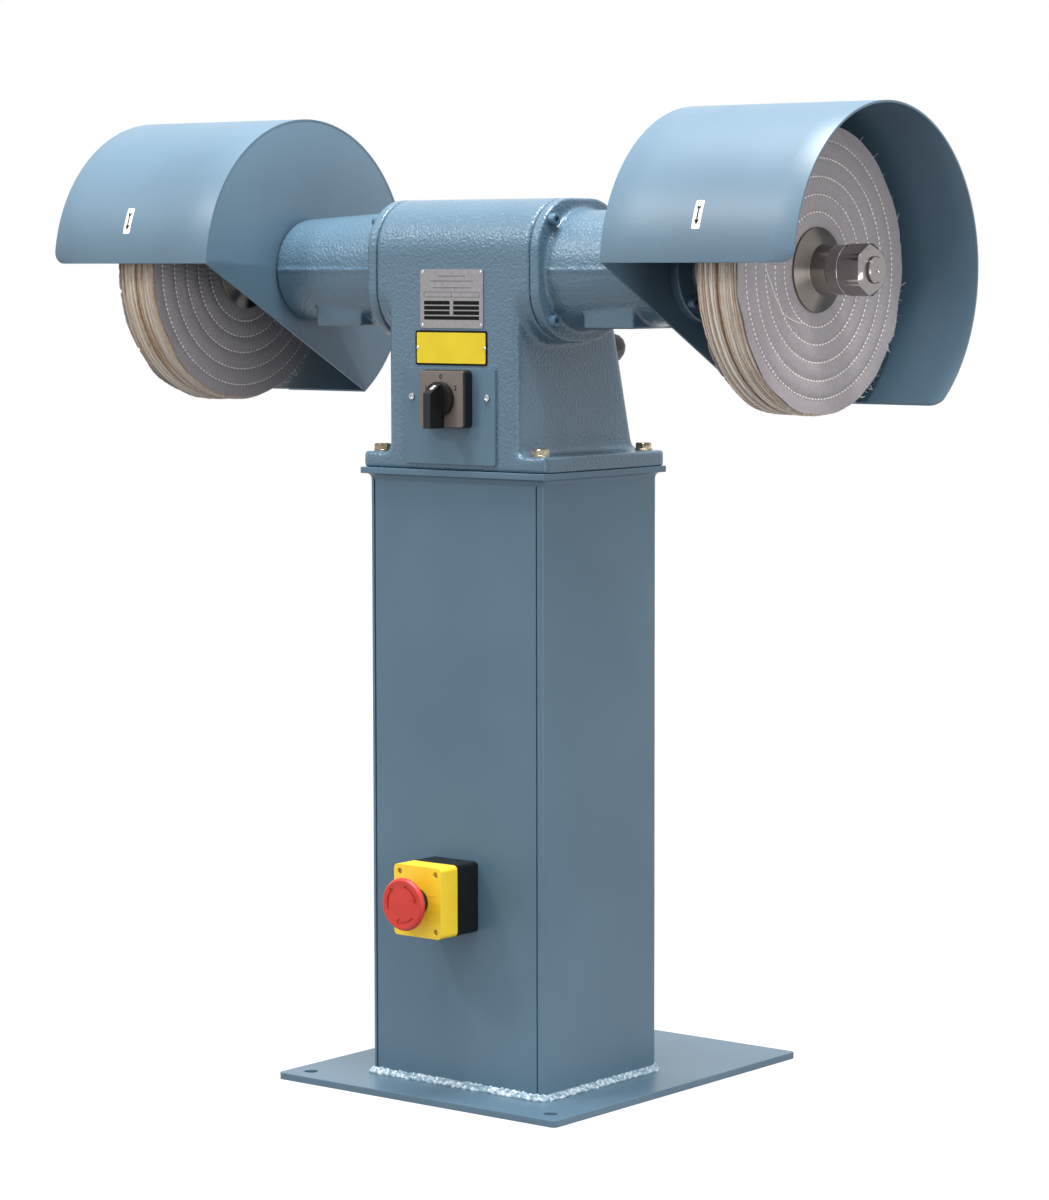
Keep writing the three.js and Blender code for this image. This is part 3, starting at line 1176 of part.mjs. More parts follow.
function stopStem() {
  const blockFrontY = COLUMN_FRONT_Y - STOP_WALL - STOP_BLOCK_DEPTH;
  const rearY = blockFrontY - STOP_TRAVEL - RUNNING_GAP;
  const tipY = STOP_HEAD_Y - STOP_HEAD_SOCKET_DEPTH + SEAT_GAP;
  return rodForward(STOP_STEM_RADIUS, STOP_X, rearY, STOP_Z, rearY - tipY);
}

function stopButton() {
  const socket = STOP_STEM_RADIUS + SEAT_GAP;
  return turnedForward([
    [0, socket],
    [0, STOP_HEAD_HUB_RADIUS],
    [STOP_HEAD_THICKNESS / 3, STOP_HEAD_RADIUS - 2 * STOP_HEAD_RIM],
    [STOP_HEAD_THICKNESS / 2, STOP_HEAD_RADIUS - STOP_HEAD_RIM / 2],
    [STOP_HEAD_THICKNESS - STOP_HEAD_RIM, STOP_HEAD_RADIUS],
    [STOP_HEAD_THICKNESS, STOP_HEAD_RADIUS - STOP_HEAD_RIM],
    [STOP_HEAD_THICKNESS - STOP_HEAD_DISH, STOP_HEAD_RADIUS - 3 * STOP_HEAD_RIM],
    [STOP_HEAD_THICKNESS - STOP_HEAD_DISH, 0],
    [STOP_HEAD_SOCKET_DEPTH, 0],
    [STOP_HEAD_SOCKET_DEPTH, socket],
    [0, socket],
  ], STOP_X, STOP_HEAD_Y, STOP_Z, TURNED_SIDES);
}

// Cable gland: built standing up in its own frame, then laid square to the rear slope

function onRearSlope(shape, x, z) {
  return shape.rotate([REAR_TANGENT_DEGREES - 90, 0, 0]).translate([x, rearFaceY(z), z]);
}

function cableGland() {
  const domeStart = SEAT_GAP + GLAND_HEX_LENGTH;
  const lipStart = domeStart + GLAND_DOME_LENGTH / 2;
  const tipZ = domeStart + GLAND_DOME_LENGTH;
  const threadPlan = polygonPoints(GLAND_THREAD_RADIUS, SMALL_SIDES);
  const body = joined(
    slab(threadPlan, -GLAND_THREAD_LENGTH, GLAND_THREAD_LENGTH + domeStart),
    slab(hexagonPoints(GLAND_FLATS), SEAT_GAP, GLAND_HEX_LENGTH));
  const dome = turnedAlongX([
    [domeStart, 0],
    [domeStart, GLAND_DOME_RADIUS],
    [lipStart, GLAND_DOME_RADIUS],
    [tipZ, GLAND_LIP_RADIUS],
    [tipZ, 0],
  ], SMALL_SIDES).rotate([0, -90, 0]);
  const mouth = slab(
    polygonPoints(GLAND_MOUTH_RADIUS, SMALL_SIDES), -GLAND_THREAD_LENGTH - CUT_OVERRUN,
    GLAND_THREAD_LENGTH + tipZ + 2 * CUT_OVERRUN);
  return onRearSlope(cut(joined(body, dome), mouth), GLAND_X, GLAND_Z);
}

function glandHole() {
  const depth = HOUSING_WALL + 2 * CUT_OVERRUN;
  const plan = polygonPoints(GLAND_THREAD_RADIUS + THREAD_GAP, SMALL_SIDES);
  const hole = slab(plan, CUT_OVERRUN - depth, depth);
  return onRearSlope(hole, GLAND_X, GLAND_Z);
}

// The machine

const machine = new THREE.Group();
const add = (name, shape, material) => machine.add(meshOf(name, shape, material));

add('base_plate', basePlate(), sheetPaint);
add('pedestal_column', pedestalColumn(), sheetPaint);
add('pedestal_front_panel', frontPanel(), sheetPaint);
add('foot_weld', weldBead(BASE_THICKNESS, 1), weldPaint);
add('top_weld', weldBead(COLUMN_TOP_Z, -1), weldPaint);
add('pedestal_top_plate', topPlate(), sheetPaint);

add('motor_housing', motorHousing(), castPaint);
for (const place of footBoltPlaces()) add(`foot_bolt_${place.name}`, footBolt(place), zincSteel);

add('rating_plate', ratingPlate(), plateAluminium);
add('notice_plate', noticePlate(), noticeYellow);
add('switch_cover_plate', switchCoverPlate(), sheetPaint);
add('cover_screw_left', coverScrew(-1), zincSteel);
add('cover_screw_right', coverScrew(1), zincSteel);
add('switch_base', switchBase(), blackPlastic);
add('switch_face_plate', switchFacePlate(), switchGrey);
add('switch_knob', switchKnob(), blackPlastic);
add('switch_contact_block', switchContactBlock(), blackPlastic);

add('stop_box_base', stopBoxBase(), blackPlastic);
add('stop_box_cover', stopBoxCover(), yellowPlastic);
add('stop_bezel', stopBezel(), blackPlastic);
add('stop_stem', stopStem(), blackPlastic);
add('stop_button', stopButton(), redPlastic);
add('stop_contact_block', stopContactBlock(), blackPlastic);

add('cable_gland', cableGland(), blackPlastic);

const spindleLine = new THREE.Group();
spindleLine.position.set(0, SPINDLE_Y, SPINDLE_HEIGHT);
machine.add(spindleLine);

spindleLine.add(meshOf('stator', stator(), laminatedSteel));
spindleLine.add(meshOf('rotor', rotor(), laminatedSteel));
spindleLine.add(meshOf('spindle_shaft', shaft(), machinedSteel));

for (const side of ['left', 'right']) {
  const mirror = side === 'left' ? [1, 0, 0] : null;
  const place = (name, shape, material) => spindleLine.add(
    meshOf(`${side}_${name}`, mirror ? shape.mirror(mirror) : shape, material));
  place('bearing_arm', bearingArm(), castPaint);
  const armScrewGrip = ARM_FLANGE_THICKNESS + ARM_SCREW_BITE;
  for (const { name, y, z } of armScrewPlaces(ARM_SCREW_CIRCLE)) {
    place(`arm_screw_${name}`, capScrew(ARM_FACE_X, y, z, armScrewGrip), castPaint);
  }
  place('guard', guard(), sheetPaint);
  place('bearing_cap', bearingCap(), castPaint);
  place('bearing_outer_ring', bearingOuterRing(), bearingSteel);
  place('bearing_inner_ring', bearingInnerRing(), bearingSteel);
  place('inner_mop_flange', innerMopFlange(), machinedSteel);
  place('inner_mop', mop(MOP_SEAT_X + SEAT_GAP, false), clothMaterial);
  place('outer_mop', mop(MOP_SEAT_X + MOP_THICKNESS + 2 * SEAT_GAP, true), clothMaterial);
  place('outer_mop_flange', outerMopFlange(), machinedSteel);
  place('spindle_nut', spindleNut(), machinedSteel);
}

export default machine;
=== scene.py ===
# %% [markdown]
# # A pedestal polishing machine, dressed in Blender
#
# The construction is ready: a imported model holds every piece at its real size. This lesson gives
# the pieces their surfaces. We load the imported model, keep it where it is, and lay finer meshes
# over the pieces whose facets would show: castings, rolled sheet, turned steel and cloth.

# %% Load the model that everything is fitted to
import json
import math
from contextlib import contextmanager

import bmesh
import bpy
import numpy as np
from mathutils import Matrix, Vector


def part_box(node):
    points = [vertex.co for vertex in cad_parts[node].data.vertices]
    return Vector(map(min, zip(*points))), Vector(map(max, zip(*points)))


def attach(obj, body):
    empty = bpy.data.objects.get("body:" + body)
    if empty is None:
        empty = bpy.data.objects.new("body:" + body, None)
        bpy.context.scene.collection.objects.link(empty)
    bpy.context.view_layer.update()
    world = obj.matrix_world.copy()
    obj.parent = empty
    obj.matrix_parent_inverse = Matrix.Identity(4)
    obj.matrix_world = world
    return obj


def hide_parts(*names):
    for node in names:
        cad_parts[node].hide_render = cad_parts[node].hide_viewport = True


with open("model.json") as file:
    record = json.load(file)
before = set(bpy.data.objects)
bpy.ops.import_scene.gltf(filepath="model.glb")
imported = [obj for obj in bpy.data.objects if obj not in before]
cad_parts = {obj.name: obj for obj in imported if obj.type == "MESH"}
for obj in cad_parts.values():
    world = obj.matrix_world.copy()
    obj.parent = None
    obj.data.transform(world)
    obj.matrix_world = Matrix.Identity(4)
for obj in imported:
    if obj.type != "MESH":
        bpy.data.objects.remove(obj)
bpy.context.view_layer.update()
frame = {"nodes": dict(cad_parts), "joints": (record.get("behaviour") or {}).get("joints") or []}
SCENE = bpy.context.scene

# %% [markdown]
# ## Camera first
#
# The camera stands where the photographer stood: to the machine's right, far away, at the height
# of the spindle, with a long lens. A long lens keeps upright edges nearly parallel. The lens and
# the place were worked out from the edges of the pedestal, which are at right angles.

# %% Camera
MM = 0.001
CAMERA_PLACE = (2670, -3325, 936)
CAMERA_AZIMUTH = 38.60
CAMERA_DOWN = 5.14
CAMERA_ROLL = -0.11
CAMERA_LENS = 112.77
SENSOR_LONG_SIDE = 36


def place_camera():
    data = bpy.data.cameras.new("camera")
    data.lens = CAMERA_LENS
    data.sensor_width = SENSOR_LONG_SIDE
    camera = bpy.data.objects.new("camera", data)
    camera.location = Vector(CAMERA_PLACE) * MM
    turn = Matrix.Rotation(math.radians(CAMERA_AZIMUTH), 4, "Z")
    tilt = Matrix.Rotation(math.radians(90 - CAMERA_DOWN), 4, "X")
    roll = Matrix.Rotation(math.radians(CAMERA_ROLL), 4, "Z")
    camera.rotation_euler = (turn @ tilt @ roll).to_euler()
    SCENE.collection.objects.link(camera)
    SCENE.camera = camera


place_camera()
print("camera at", [round(v, 3) for v in SCENE.camera.location])

# %% [markdown]
# ## Sizes
#
# Blender works in metres and a maker in millimetres, so sizes here are in millimetres and every
# helper turns them to metres at its last step. Places come from the loaded model: the spindle
# line from the joint that it turns on, and each piece from its own box.

# %% Places read from the model
JOINTS = {joint["name"]: joint for joint in frame["joints"]}


def box_mm(node):
    return [Vector(corner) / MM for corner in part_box(node)]


SPINDLE = Vector(JOINTS["spindle_spin"]["pos_m"]) / MM
SIDES = {"left": -1, "right": 1}
print("spindle line at", [round(v, 1) for v in SPINDLE])

# %% [markdown]
# ## Small helpers
#
# A few things come back all the time: a mesh from points and faces, a mesh opened for an edit, and
# an object whose modifiers are turned into plain geometry. Each gets one function.

# %% Meshes and modifiers
SHARP_DEGREES = 34


def smooth_by_angle(obj, degrees=SHARP_DEGREES):
    obj.data.shade_smooth()
    obj.data.set_sharp_from_angle(angle=math.radians(degrees))
    return obj


@contextmanager
def editing(mesh):
    """Opens a mesh for Blender's editing tools and writes it back afterwards."""
    work = bmesh.new()
    work.from_mesh(mesh)
    yield work
    work.to_mesh(mesh)
    work.free()


def new_object(name, data):
    obj = bpy.data.objects.new(name, data)
    SCENE.collection.objects.link(obj)
    return obj


def plain_mesh(name, points, edges=(), faces=()):
    """A mesh from points in millimetres and lists of point numbers."""
    mesh = bpy.data.meshes.new(name)
    mesh.from_pydata([[value * MM for value in point] for point in points], edges, faces)
    return mesh


def mesh_object(name, points, faces, outward=True):
    obj = new_object(name, plain_mesh(name, points, faces=faces))
    if outward:
        with editing(obj.data) as work:
            bmesh.ops.recalc_face_normals(work, faces=work.faces)
    return smooth_by_angle(obj)


def modifier(obj, kind, **settings):
    added = obj.modifiers.new(kind.lower(), kind)
    for key, value in settings.items():
        setattr(added, key, value)
    return added


def settle(obj):
    """Turns an object's modifiers into plain geometry."""
    graph = bpy.context.evaluated_depsgraph_get()
    mesh = bpy.data.meshes.new_from_object(obj.evaluated_get(graph))
    obj.modifiers.clear()
    obj.data = mesh
    return obj


def joined(name, objects):
    """One object from several, with its own mesh."""
    work = bmesh.new()
    for obj in objects:
        work.from_mesh(obj.data)
        bpy.data.objects.remove(obj)
    mesh = bpy.data.meshes.new(name)
    work.to_mesh(mesh)
    work.free()
    return new_object(name, mesh)


def drop(*objects):
    for obj in objects:
        bpy.data.objects.remove(obj)


# %% [markdown]
# A sharp corner on a drawing is a small arc on a real piece. `softened` replaces each corner of an
# outline with an arc that touches both edges, so one list of corners draws sheet, castings and
# turned steel alike.

# %% Outlines, prisms and turned shapes
def softened(points, radius, steps=4, closed=True):
    """Rounds corners. radius is one value, or one for each point."""
    count = len(points)
    radii = [radius] * count if isinstance(radius, (int, float)) else list(radius)
    result = []
    for i, corner in enumerate(points):
        here = Vector(corner)
        at_end = not closed and i in (0, count - 1)
        if radii[i] == 0 or at_end:
            result.append(here)
            continue
        back = (Vector(points[i - 1]) - here).normalized()
        onward = (Vector(points[(i + 1) % count]) - here).normalized()
        half = back.angle(onward) / 2
        reach = radii[i] / math.tan(half)
        centre = here + (back + onward).normalized() * radii[i] / math.sin(half)
        spoke = here + back * reach - centre
        sweep = math.pi - 2 * half
        turning = math.copysign(1, back.x * onward.y - back.y * onward.x)
        for step in range(steps + 1):
            angle = -turning * sweep * step / steps
            cosine, sine = math.cos(angle), math.sin(angle)
            turned = Vector((spoke.x * cosine - spoke.y * sine, spoke.x * sine + spoke.y * cosine))
            result.append(centre + turned)
    return result


def rectangle(width, height, x=0, y=0):
    corners = ((-1, -1), (1, -1), (1, 1), (-1, 1))
    return [(x + u * width / 2, y + v * height / 2) for u, v in corners]


def along_x(u, v, along):
    return (along, u, v)


def along_y(u, v, along):
    return (u, along, v)


def along_z(u, v, along):
    return (u, v, along)


def loft(name, outlines, stations, place):
    """A closed solid through outlines with equal numbers of points, one at each station."""
    count = len(outlines[0])
    points = [place(u, v, at) for outline, at in zip(outlines, stations) for u, v in outline]
    faces = [list(range(count)), list(range(len(points) - count, len(points)))]
    for ring in range(len(outlines) - 1):
        start = ring * count
        for i in range(count):
            j = (i + 1) % count
            faces.append([start + i, start + j, start + count + j, start + count + i])
    return mesh_object(name, points, faces)


def prism(name, outline, low, high, place):
    return loft(name, [outline, outline], [low, high], place)


def turned(name, profile, steps=96, centre=SPINDLE, place=along_x):
    """Turns a closed profile of (along, radius) points about a line through centre."""
    angles = [2 * math.pi * i / steps for i in range(steps)]
    count = len(profile)
    offset = Vector(place(centre.y, centre.z, 0)) if place is along_x else Vector(centre)
    points = []
    for angle in angles:
        for along, radius in profile:
            points.append(Vector(place(radius * math.cos(angle), radius * math.sin(angle), along)) + offset)
    faces = []
    for i in range(steps):
        start, after = i * count, ((i + 1) % steps) * count
        for j in range(count):
            k = (j + 1) % count
            faces.append([start + j, start + k, after + k, after + j])
    obj = mesh_object(name, points, faces, outward=False)
    close_poles(obj)
    return smooth_by_angle(obj)


WELD_MM = 0.01


def close_poles(obj):
    """Joins points that fall together, such as those on a turned piece's own axis."""
    with editing(obj.data) as work:
        bmesh.ops.remove_doubles(work, verts=work.verts, dist=WELD_MM * MM)
        bmesh.ops.dissolve_degenerate(work, edges=work.edges, dist=WELD_MM * MM)
        bmesh.ops.recalc_face_normals(work, faces=work.faces)


# %% [markdown]
# Many flat pieces only need real edges: sheet is never knife-sharp, and a rounded edge catches a
# thin line of light. `dressed` copies a piece of the model, melts its triangles into flat faces
# and rounds what is left. The model's own piece is hidden, and stays as it is.

# %% Dressing a copy of a piece
FLAT_DEGREES = 1.0
EDGE_DEGREES = 40


def round_edges(obj, width, steps=2):
    modifier(
        obj, "BEVEL", width=width * MM, segments=steps, limit_method="ANGLE",
        angle_limit=math.radians(EDGE_DEGREES))
    return settle(obj)


def dressed(node, edge, steps=2):
    """A copy of the model's piece, with flat faces and edges rounded by edge millimetres."""
    obj = new_object(f"{node}_dressed", frame["nodes"][node].data.copy())
    obj.data.materials.clear()
    with editing(obj.data) as work:
        bmesh.ops.remove_doubles(work, verts=work.verts, dist=WELD_MM * MM)
        bmesh.ops.dissolve_limit(
            work, angle_limit=math.radians(FLAT_DEGREES), verts=work.verts, edges=work.edges)
    smooth_by_angle(round_edges(obj, edge, steps))
    modifier(obj, "WEIGHTED_NORMAL", mode="FACE_AREA", keep_sharp=True)
    return settle(obj)


def wear(obj, body, material, nodes=()):
    """Gives a finished piece its body and its material, and hides the model's pieces it stands for."""
    if material is not None:
        obj.data.materials.clear()
        obj.data.materials.append(material)
    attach(obj, body)
    if nodes:
        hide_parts(*nodes)
    return obj


# %% [markdown]
# ## Finishes
#
# Every material is a small network of nodes that starts from what the real surface is. Colours
# are written as on a screen, in hex, and one function turns them into the linear values that
# light is worked out in. Patterns are given by their real size in millimetres.

# %% Colour and node helpers
def linear(hex_colour):
    channels = [int(hex_colour[i:i + 2], 16) / 255 for i in (1, 3, 5)]
    return (*[c / 12.92 if c <= 0.04045 else ((c + 0.055) / 1.055) ** 2.4 for c in channels], 1)


def add(tree, kind, values=(), **settings):
    """Adds a node, sets its settings, and links or fills its inputs."""
    node = tree.nodes.new(kind)
    for key, value in settings.items():
        setattr(node, key, value)
    for key, value in dict(values).items():
        if isinstance(value, bpy.types.NodeSocket):
            tree.links.new(value, node.inputs[key])
        else:
            node.inputs[key].default_value = value
    return node


def number_math(tree, operation, *values):
    return add(tree, "ShaderNodeMath", dict(enumerate(values)), operation=operation).outputs[0]


def vector_math(tree, operation, *values, output=0):
    return add(tree, "ShaderNodeVectorMath", dict(enumerate(values)), operation=operation).outputs[output]


def ranged(tree, value, source=(0, 1), target=(0, 1)):
    """Carries a value over from the source's range to the target's."""
    ends = {"From Min": source[0], "From Max": source[1], "To Min": target[0], "To Max": target[1]}
    return add(tree, "ShaderNodeMapRange", {"Value": value, **ends}).outputs["Result"]


def new_material(name, **values):
    """A material with its shader's own values set. Returns the material, its tree and shader."""
    material = bpy.data.materials.new(name)
    material.use_nodes = True
    tree = material.node_tree
    shader = tree.nodes["Principled BSDF"]
    for key, value in values.items():
        shader.inputs[key.replace("_", " ")].default_value = value
    return material, tree, shader


def per_mm(size):
    """A pattern's scale from the size of one of its features in millimetres."""
    return 1 / (size * MM)


def object_place(tree, scale=(1, 1, 1)):
    coordinates = add(tree, "ShaderNodeTexCoord").outputs["Object"]
    return add(tree, "ShaderNodeMapping", {"Vector": coordinates, "Scale": scale}).outputs["Vector"]


def noise(tree, vector, size, detail=2.0, roughness=0.5):
    values = {"Vector": vector, "Scale": per_mm(size), "Detail": detail, "Roughness": roughness}
    return add(tree, "ShaderNodeTexNoise", values).outputs["Fac"]


def blend_colours(tree, factor, first, second, low=0.3, high=0.7):
    ramp = add(tree, "ShaderNodeValToRGB", {"Fac": factor})
    ramp.color_ramp.elements[0].position = low
    ramp.color_ramp.elements[0].color = linear(first)
    ramp.color_ramp.elements[1].position = high
    ramp.color_ramp.elements[1].color = linear(second)
    return ramp.outputs["Color"]


def bump(tree, height, depth, strength=1.0, below=None):
    values = {"Height": height, "Distance": depth * MM, "Strength": strength}
    if below is not None:
        values["Normal"] = below
    return add(tree, "ShaderNodeBump", values).outputs["Normal"]


# %% [markdown]
# The machine is sprayed in one grey-blue enamel, but it lies differently on each ground. On rolled
# sheet it is even, with a fine grain that scatters a lamp's light. On the iron castings it follows
# the sand of the mould, so the surface is leathery and sparkles. Every enamel here is one recipe
# with its own grain size and depth.

# %% Enamel recipe
ENAMEL_LIGHT = "#597588"
ENAMEL_DARK = "#516C7F"
CLOUD_SIZE = 160


def enamel(name, roughness, grain, depth, light=ENAMEL_LIGHT, dark=ENAMEL_DARK, gloss=1.45):
    """Sprayed enamel: a faint cloud of colour and a grain of one real size in millimetres."""
    material, tree, shader = new_material(name, Roughness=roughness, IOR=gloss)
    place = object_place(tree)
    cloud = noise(tree, place, CLOUD_SIZE)
    tree.links.new(blend_colours(tree, cloud, dark, light), shader.inputs["Base Color"])
    tree.links.new(bump(tree, noise(tree, place, grain, detail=3), depth), shader.inputs["Normal"])
    return material, tree, shader


# Enamel on bent sheet: smooth and satin, so that flat faces read as calm planes.
SHEET_ENAMEL = enamel("enamel_on_sheet_steel", 0.36, 1.5, 0.06)[0]
# Enamel sprayed thinner on the guards: more grain, so lamps leave broad pale bands and no mirror.
GUARD_ENAMEL = enamel("sprayed_enamel_on_guard", 0.4, 1.7, 0.16, gloss=1.6)[0]
# Enamel that filled screw heads: glossier, with a darker cloud of colour.
SCREW_ENAMEL = enamel("enamel_on_screw", 0.3, 1.5, 0.08, "#587A92", "#3F5A6E")[0]
print("enamel on sheet, guards and screws")

# %% [markdown]
# On the castings the grain is the mould's sand, 1 to 4 mm wide under the paint. Two sizes of noise
# are laid over each other as bumps. Paint ran down and gathered at the housing's foot, so the
# enamel gets glossier there: its roughness follows the height.

# %% Enamel on iron and on welds
SAND_GRAIN = 3.2
SAND_DEPTH = 0.95
FINE_SAND = 1.4
FINE_SAND_DEPTH = 0.22
POOL_HEIGHTS = (0.726, 0.742)
POOL_ROUGHNESS = (0.12, 0.22)
WELD_LUMP = 5
WELD_LUMP_DEPTH = 0.9


def enamel_on_iron():
    """Leathery relief over sand-cast iron, wetter towards the foot flange."""
    material, tree, shader = enamel(
        "enamel_on_cast_iron", POOL_ROUGHNESS[1], FINE_SAND, FINE_SAND_DEPTH, gloss=1.52)
    place = object_place(tree)
    fine = shader.inputs["Normal"].links[0].from_socket
    relief = noise(tree, place, SAND_GRAIN, detail=1.2, roughness=0.55)
    tree.links.new(bump(tree, relief, SAND_DEPTH, below=fine), shader.inputs["Normal"])
    height = add(tree, "ShaderNodeSeparateXYZ", {"Vector": place}).outputs["Z"]
    tree.links.new(ranged(tree, height, POOL_HEIGHTS, POOL_ROUGHNESS), shader.inputs["Roughness"])
    return material


def weld_enamel_and_painted_highlights():
    """Wet paint over ripples: crests painted pale as highlights, blue hollows."""
    material, tree, shader = new_material("weld_enamel_and_painted_highlights", Roughness=0.15, IOR=1.7)
    place = object_place(tree)
    lump_height_and_highlight = noise(tree, place, WELD_LUMP)
    # The pale end of the colour follows the lumps' crests: a painted highlight over blue enamel.
    colour = blend_colours(tree, lump_height_and_highlight, "#6F8DA1", "#CFDCE5", 0.42, 0.68)
    tree.links.new(colour, shader.inputs["Base Color"])
    tree.links.new(bump(tree, lump_height_and_highlight, WELD_LUMP_DEPTH), shader.inputs["Normal"])
    return material


# Enamel on cast iron: leather-like, with small sparks of light along every edge.
IRON_ENAMEL = enamel_on_iron()
# Enamel over weld beads: wet and glossy, its crests painted near white as painted highlights, so that it
# reads as almost silver.
WELD_ENAMEL_AND_PAINTED_HIGHLIGHTS = weld_enamel_and_painted_highlights()
print("enamel on castings and welds")

# %% [markdown]
# Bare metal is told by its reflections. The lathe leaves fine rings, and such a surface stretches
# every reflection across the rings, into the bright wedges that one sees on a turned disc. In
# Blender that is anisotropy, with a tangent that runs round the spindle and a quarter of a turn
# from there to the direction of the stretch.

# %% Turned steel
RING_PITCH = 0.5
RING_DEPTH = 0.012
STAIN_SIZE = 14
QUARTER_TURN = 0.25


def spindle_frame(tree):
    """Object coordinates from the spindle line, in metres."""
    coordinates = add(tree, "ShaderNodeTexCoord").outputs["Object"]
    about_line = {"Vector": coordinates, "Location": tuple(-v * MM for v in (0, SPINDLE.y, SPINDLE.z))}
    return add(tree, "ShaderNodeMapping", about_line).outputs["Vector"]


def turned_steel(name, colour, roughness, anisotropy):
    """Steel with rings about the spindle. It is up to half as rough again in stains."""
    material, tree, shader = new_material(
        name, Metallic=1.0, Base_Color=linear(colour), Anisotropic=anisotropy,
        Anisotropic_Rotation=QUARTER_TURN)
    centred = spindle_frame(tree)
    parts = add(tree, "ShaderNodeSeparateXYZ", {"Vector": centred}).outputs
    across = add(tree, "ShaderNodeCombineXYZ", {"Y": parts["Y"], "Z": parts["Z"]}).outputs["Vector"]
    radius = vector_math(tree, "LENGTH", across, output="Value")
    both = number_math(tree, "ADD", radius, parts["X"])
    line = add(tree, "ShaderNodeCombineXYZ", {"X": both}).outputs["Vector"]
    tree.links.new(bump(tree, noise(tree, line, RING_PITCH), RING_DEPTH), shader.inputs["Normal"])
    around = vector_math(tree, "CROSS_PRODUCT", centred, (1, 0, 0))
    tree.links.new(around, shader.inputs["Tangent"])
    stains = noise(tree, centred, STAIN_SIZE, detail=4)
    rough = ranged(tree, stains, target=(roughness, roughness * 1.5))
    tree.links.new(rough, shader.inputs["Roughness"])
    return material


# Flanges and bosses: turned, oiled and a little brown, with wedge-shaped highlights.
FLANGE_STEEL = turned_steel("turned_flange_steel", "#7D7772", 0.26, 0.95)
# Nuts and shaft: finer turning, brighter, with crisp reflections on the flats.
TURNED_STEEL = turned_steel("turned_nut_steel", "#969190", 0.16, 0.7)
print("turned steel")

# %% [markdown]
# The other metals come as rolled, plated or ground stock. Each keeps a faint stain of colour and a
# grain of about a millimetre, coarser than the real one so that it shows.

# %% Plated, ground and anodised metal
STAIN_TO_GRAIN = 8
METAL_GRAIN_DEPTH = 0.03


def grained_metal(name, light, dark, roughness, grain):
    material, tree, shader = new_material(name, Metallic=1.0, Roughness=roughness)
    place = object_place(tree)
    stain = noise(tree, place, grain * STAIN_TO_GRAIN, detail=3)
    tree.links.new(blend_colours(tree, stain, dark, light), shader.inputs["Base Color"])
    tree.links.new(bump(tree, noise(tree, place, grain), METAL_GRAIN_DEPTH), shader.inputs["Normal"])
    return material


# Passivated zinc on the foot bolts: straw yellow to brown.
ZINC = grained_metal("yellow_zinc_plate", "#B3AC98", "#7E6F55", 0.32, 1.2)
# Bright zinc on plate screws and rivets: white and clean.
BRIGHT_ZINC = grained_metal("bright_zinc_plate", "#D4D6D8", "#A9ACAF", 0.25, 1.0)
# Ground bearing rings: the smoothest steel here.
BEARING_STEEL = grained_metal("ground_bearing_steel", "#C9CDD1", "#B4B8BC", 0.18, 0.8)
# Stacked motor sheets: dull and dark.
MOTOR_STEEL = grained_metal("laminated_motor_steel", "#7B7E80", "#55585A", 0.5, 1.5)
# Anodised aluminium of the rating plate: satin silver without a mirror in it.
ANODISED = grained_metal("satin_anodised_aluminium", "#A09D9F", "#929092", 0.52, 0.6)
print("plated metals")

# %% [markdown]
# Moulded plastics have a faint spark-eroded texture from the mould. The printed black, white and
# yellow lie flat and dull on their sheets.

# %% Plastics and prints
SHADE_SIZE = 30


def moulded(name, light, dark, roughness, grain=0.9, depth=0.03, gloss=1.49):
    material, tree, shader = new_material(name, Roughness=roughness, IOR=gloss)
    place = object_place(tree)
    shade = noise(tree, place, SHADE_SIZE)
    tree.links.new(blend_colours(tree, shade, dark, light), shader.inputs["Base Color"])
    tree.links.new(bump(tree, noise(tree, place, grain), depth), shader.inputs["Normal"])
    return material


# Glass-filled polyamide of knob, boxes and gland: nearly black, satin.
BLACK_PLASTIC = moulded("black_polyamide", "#111213", "#0C0D0E", 0.4, gloss=1.42)
# ABS cover of the stop box: warm yellow, satin.
YELLOW_PLASTIC = moulded("yellow_abs", "#FFDC3A", "#FBD32E", 0.36)
# Polyamide mushroom head: signal red, a little duller.
RED_PLASTIC = moulded("red_polyamide", "#D23A2E", "#C63026", 0.42)
# Metallised face of the switch: a brown grey like old pewter.
SWITCH_FACE = moulded("metallised_switch_face", "#746A65", "#6B625D", 0.4, 0.5)
# Screen prints: flat colour with the faintest tooth.
YELLOW_PRINT = moulded("yellow_printed_sheet", "#E6CC1A", "#DFC414", 0.45, 0.6, 0.01)
BLACK_PRINT = moulded("black_print", "#0B0B0D", "#08080A", 0.7, 0.6, 0.01, 1.25)
WHITE_PRINT = moulded("white_print", "#F1F0EC", "#EAE9E5", 0.5, 0.6, 0.01)
print("plastics ready")

# %% [markdown]
# A polishing mop is plain-woven cotton. Its faces are bleached and read as a cool lilac grey. The
# weave here is drawn about twice as coarse as the real 0.45 mm, so that it shows at all.

# %% Cotton face
THREAD_SPACING = 0.9
WEAVE_DEPTH = 0.07
SLUB_SIZE = 2.2
SLUB_DEPTH = 0.2


def cotton_face():
    """Bleached plain weave: matt, soft, with slubs where a thread was thicker."""
    material, tree, shader = new_material("bleached_cotton", Roughness=0.92, Sheen_Weight=0.2)
    place = object_place(tree)
    parts = add(tree, "ShaderNodeSeparateXYZ", {"Vector": place}).outputs
    turns = 2 * math.pi * per_mm(THREAD_SPACING)
    waves = []
    for axis in ("Y", "Z"):
        phase = number_math(tree, "MULTIPLY", parts[axis], turns)
        waves.append(number_math(tree, "SINE", phase))
    weave = number_math(tree, "MULTIPLY", *waves)
    slubs = noise(tree, place, SLUB_SIZE, detail=4, roughness=0.7)
    tree.links.new(blend_colours(tree, slubs, "#9F989D", "#B6AFB3"), shader.inputs["Base Color"])
    fine = bump(tree, weave, WEAVE_DEPTH)
    tree.links.new(bump(tree, slubs, SLUB_DEPTH, below=fine), shader.inputs["Normal"])
    return material


COTTON = cotton_face()
print("cotton face")

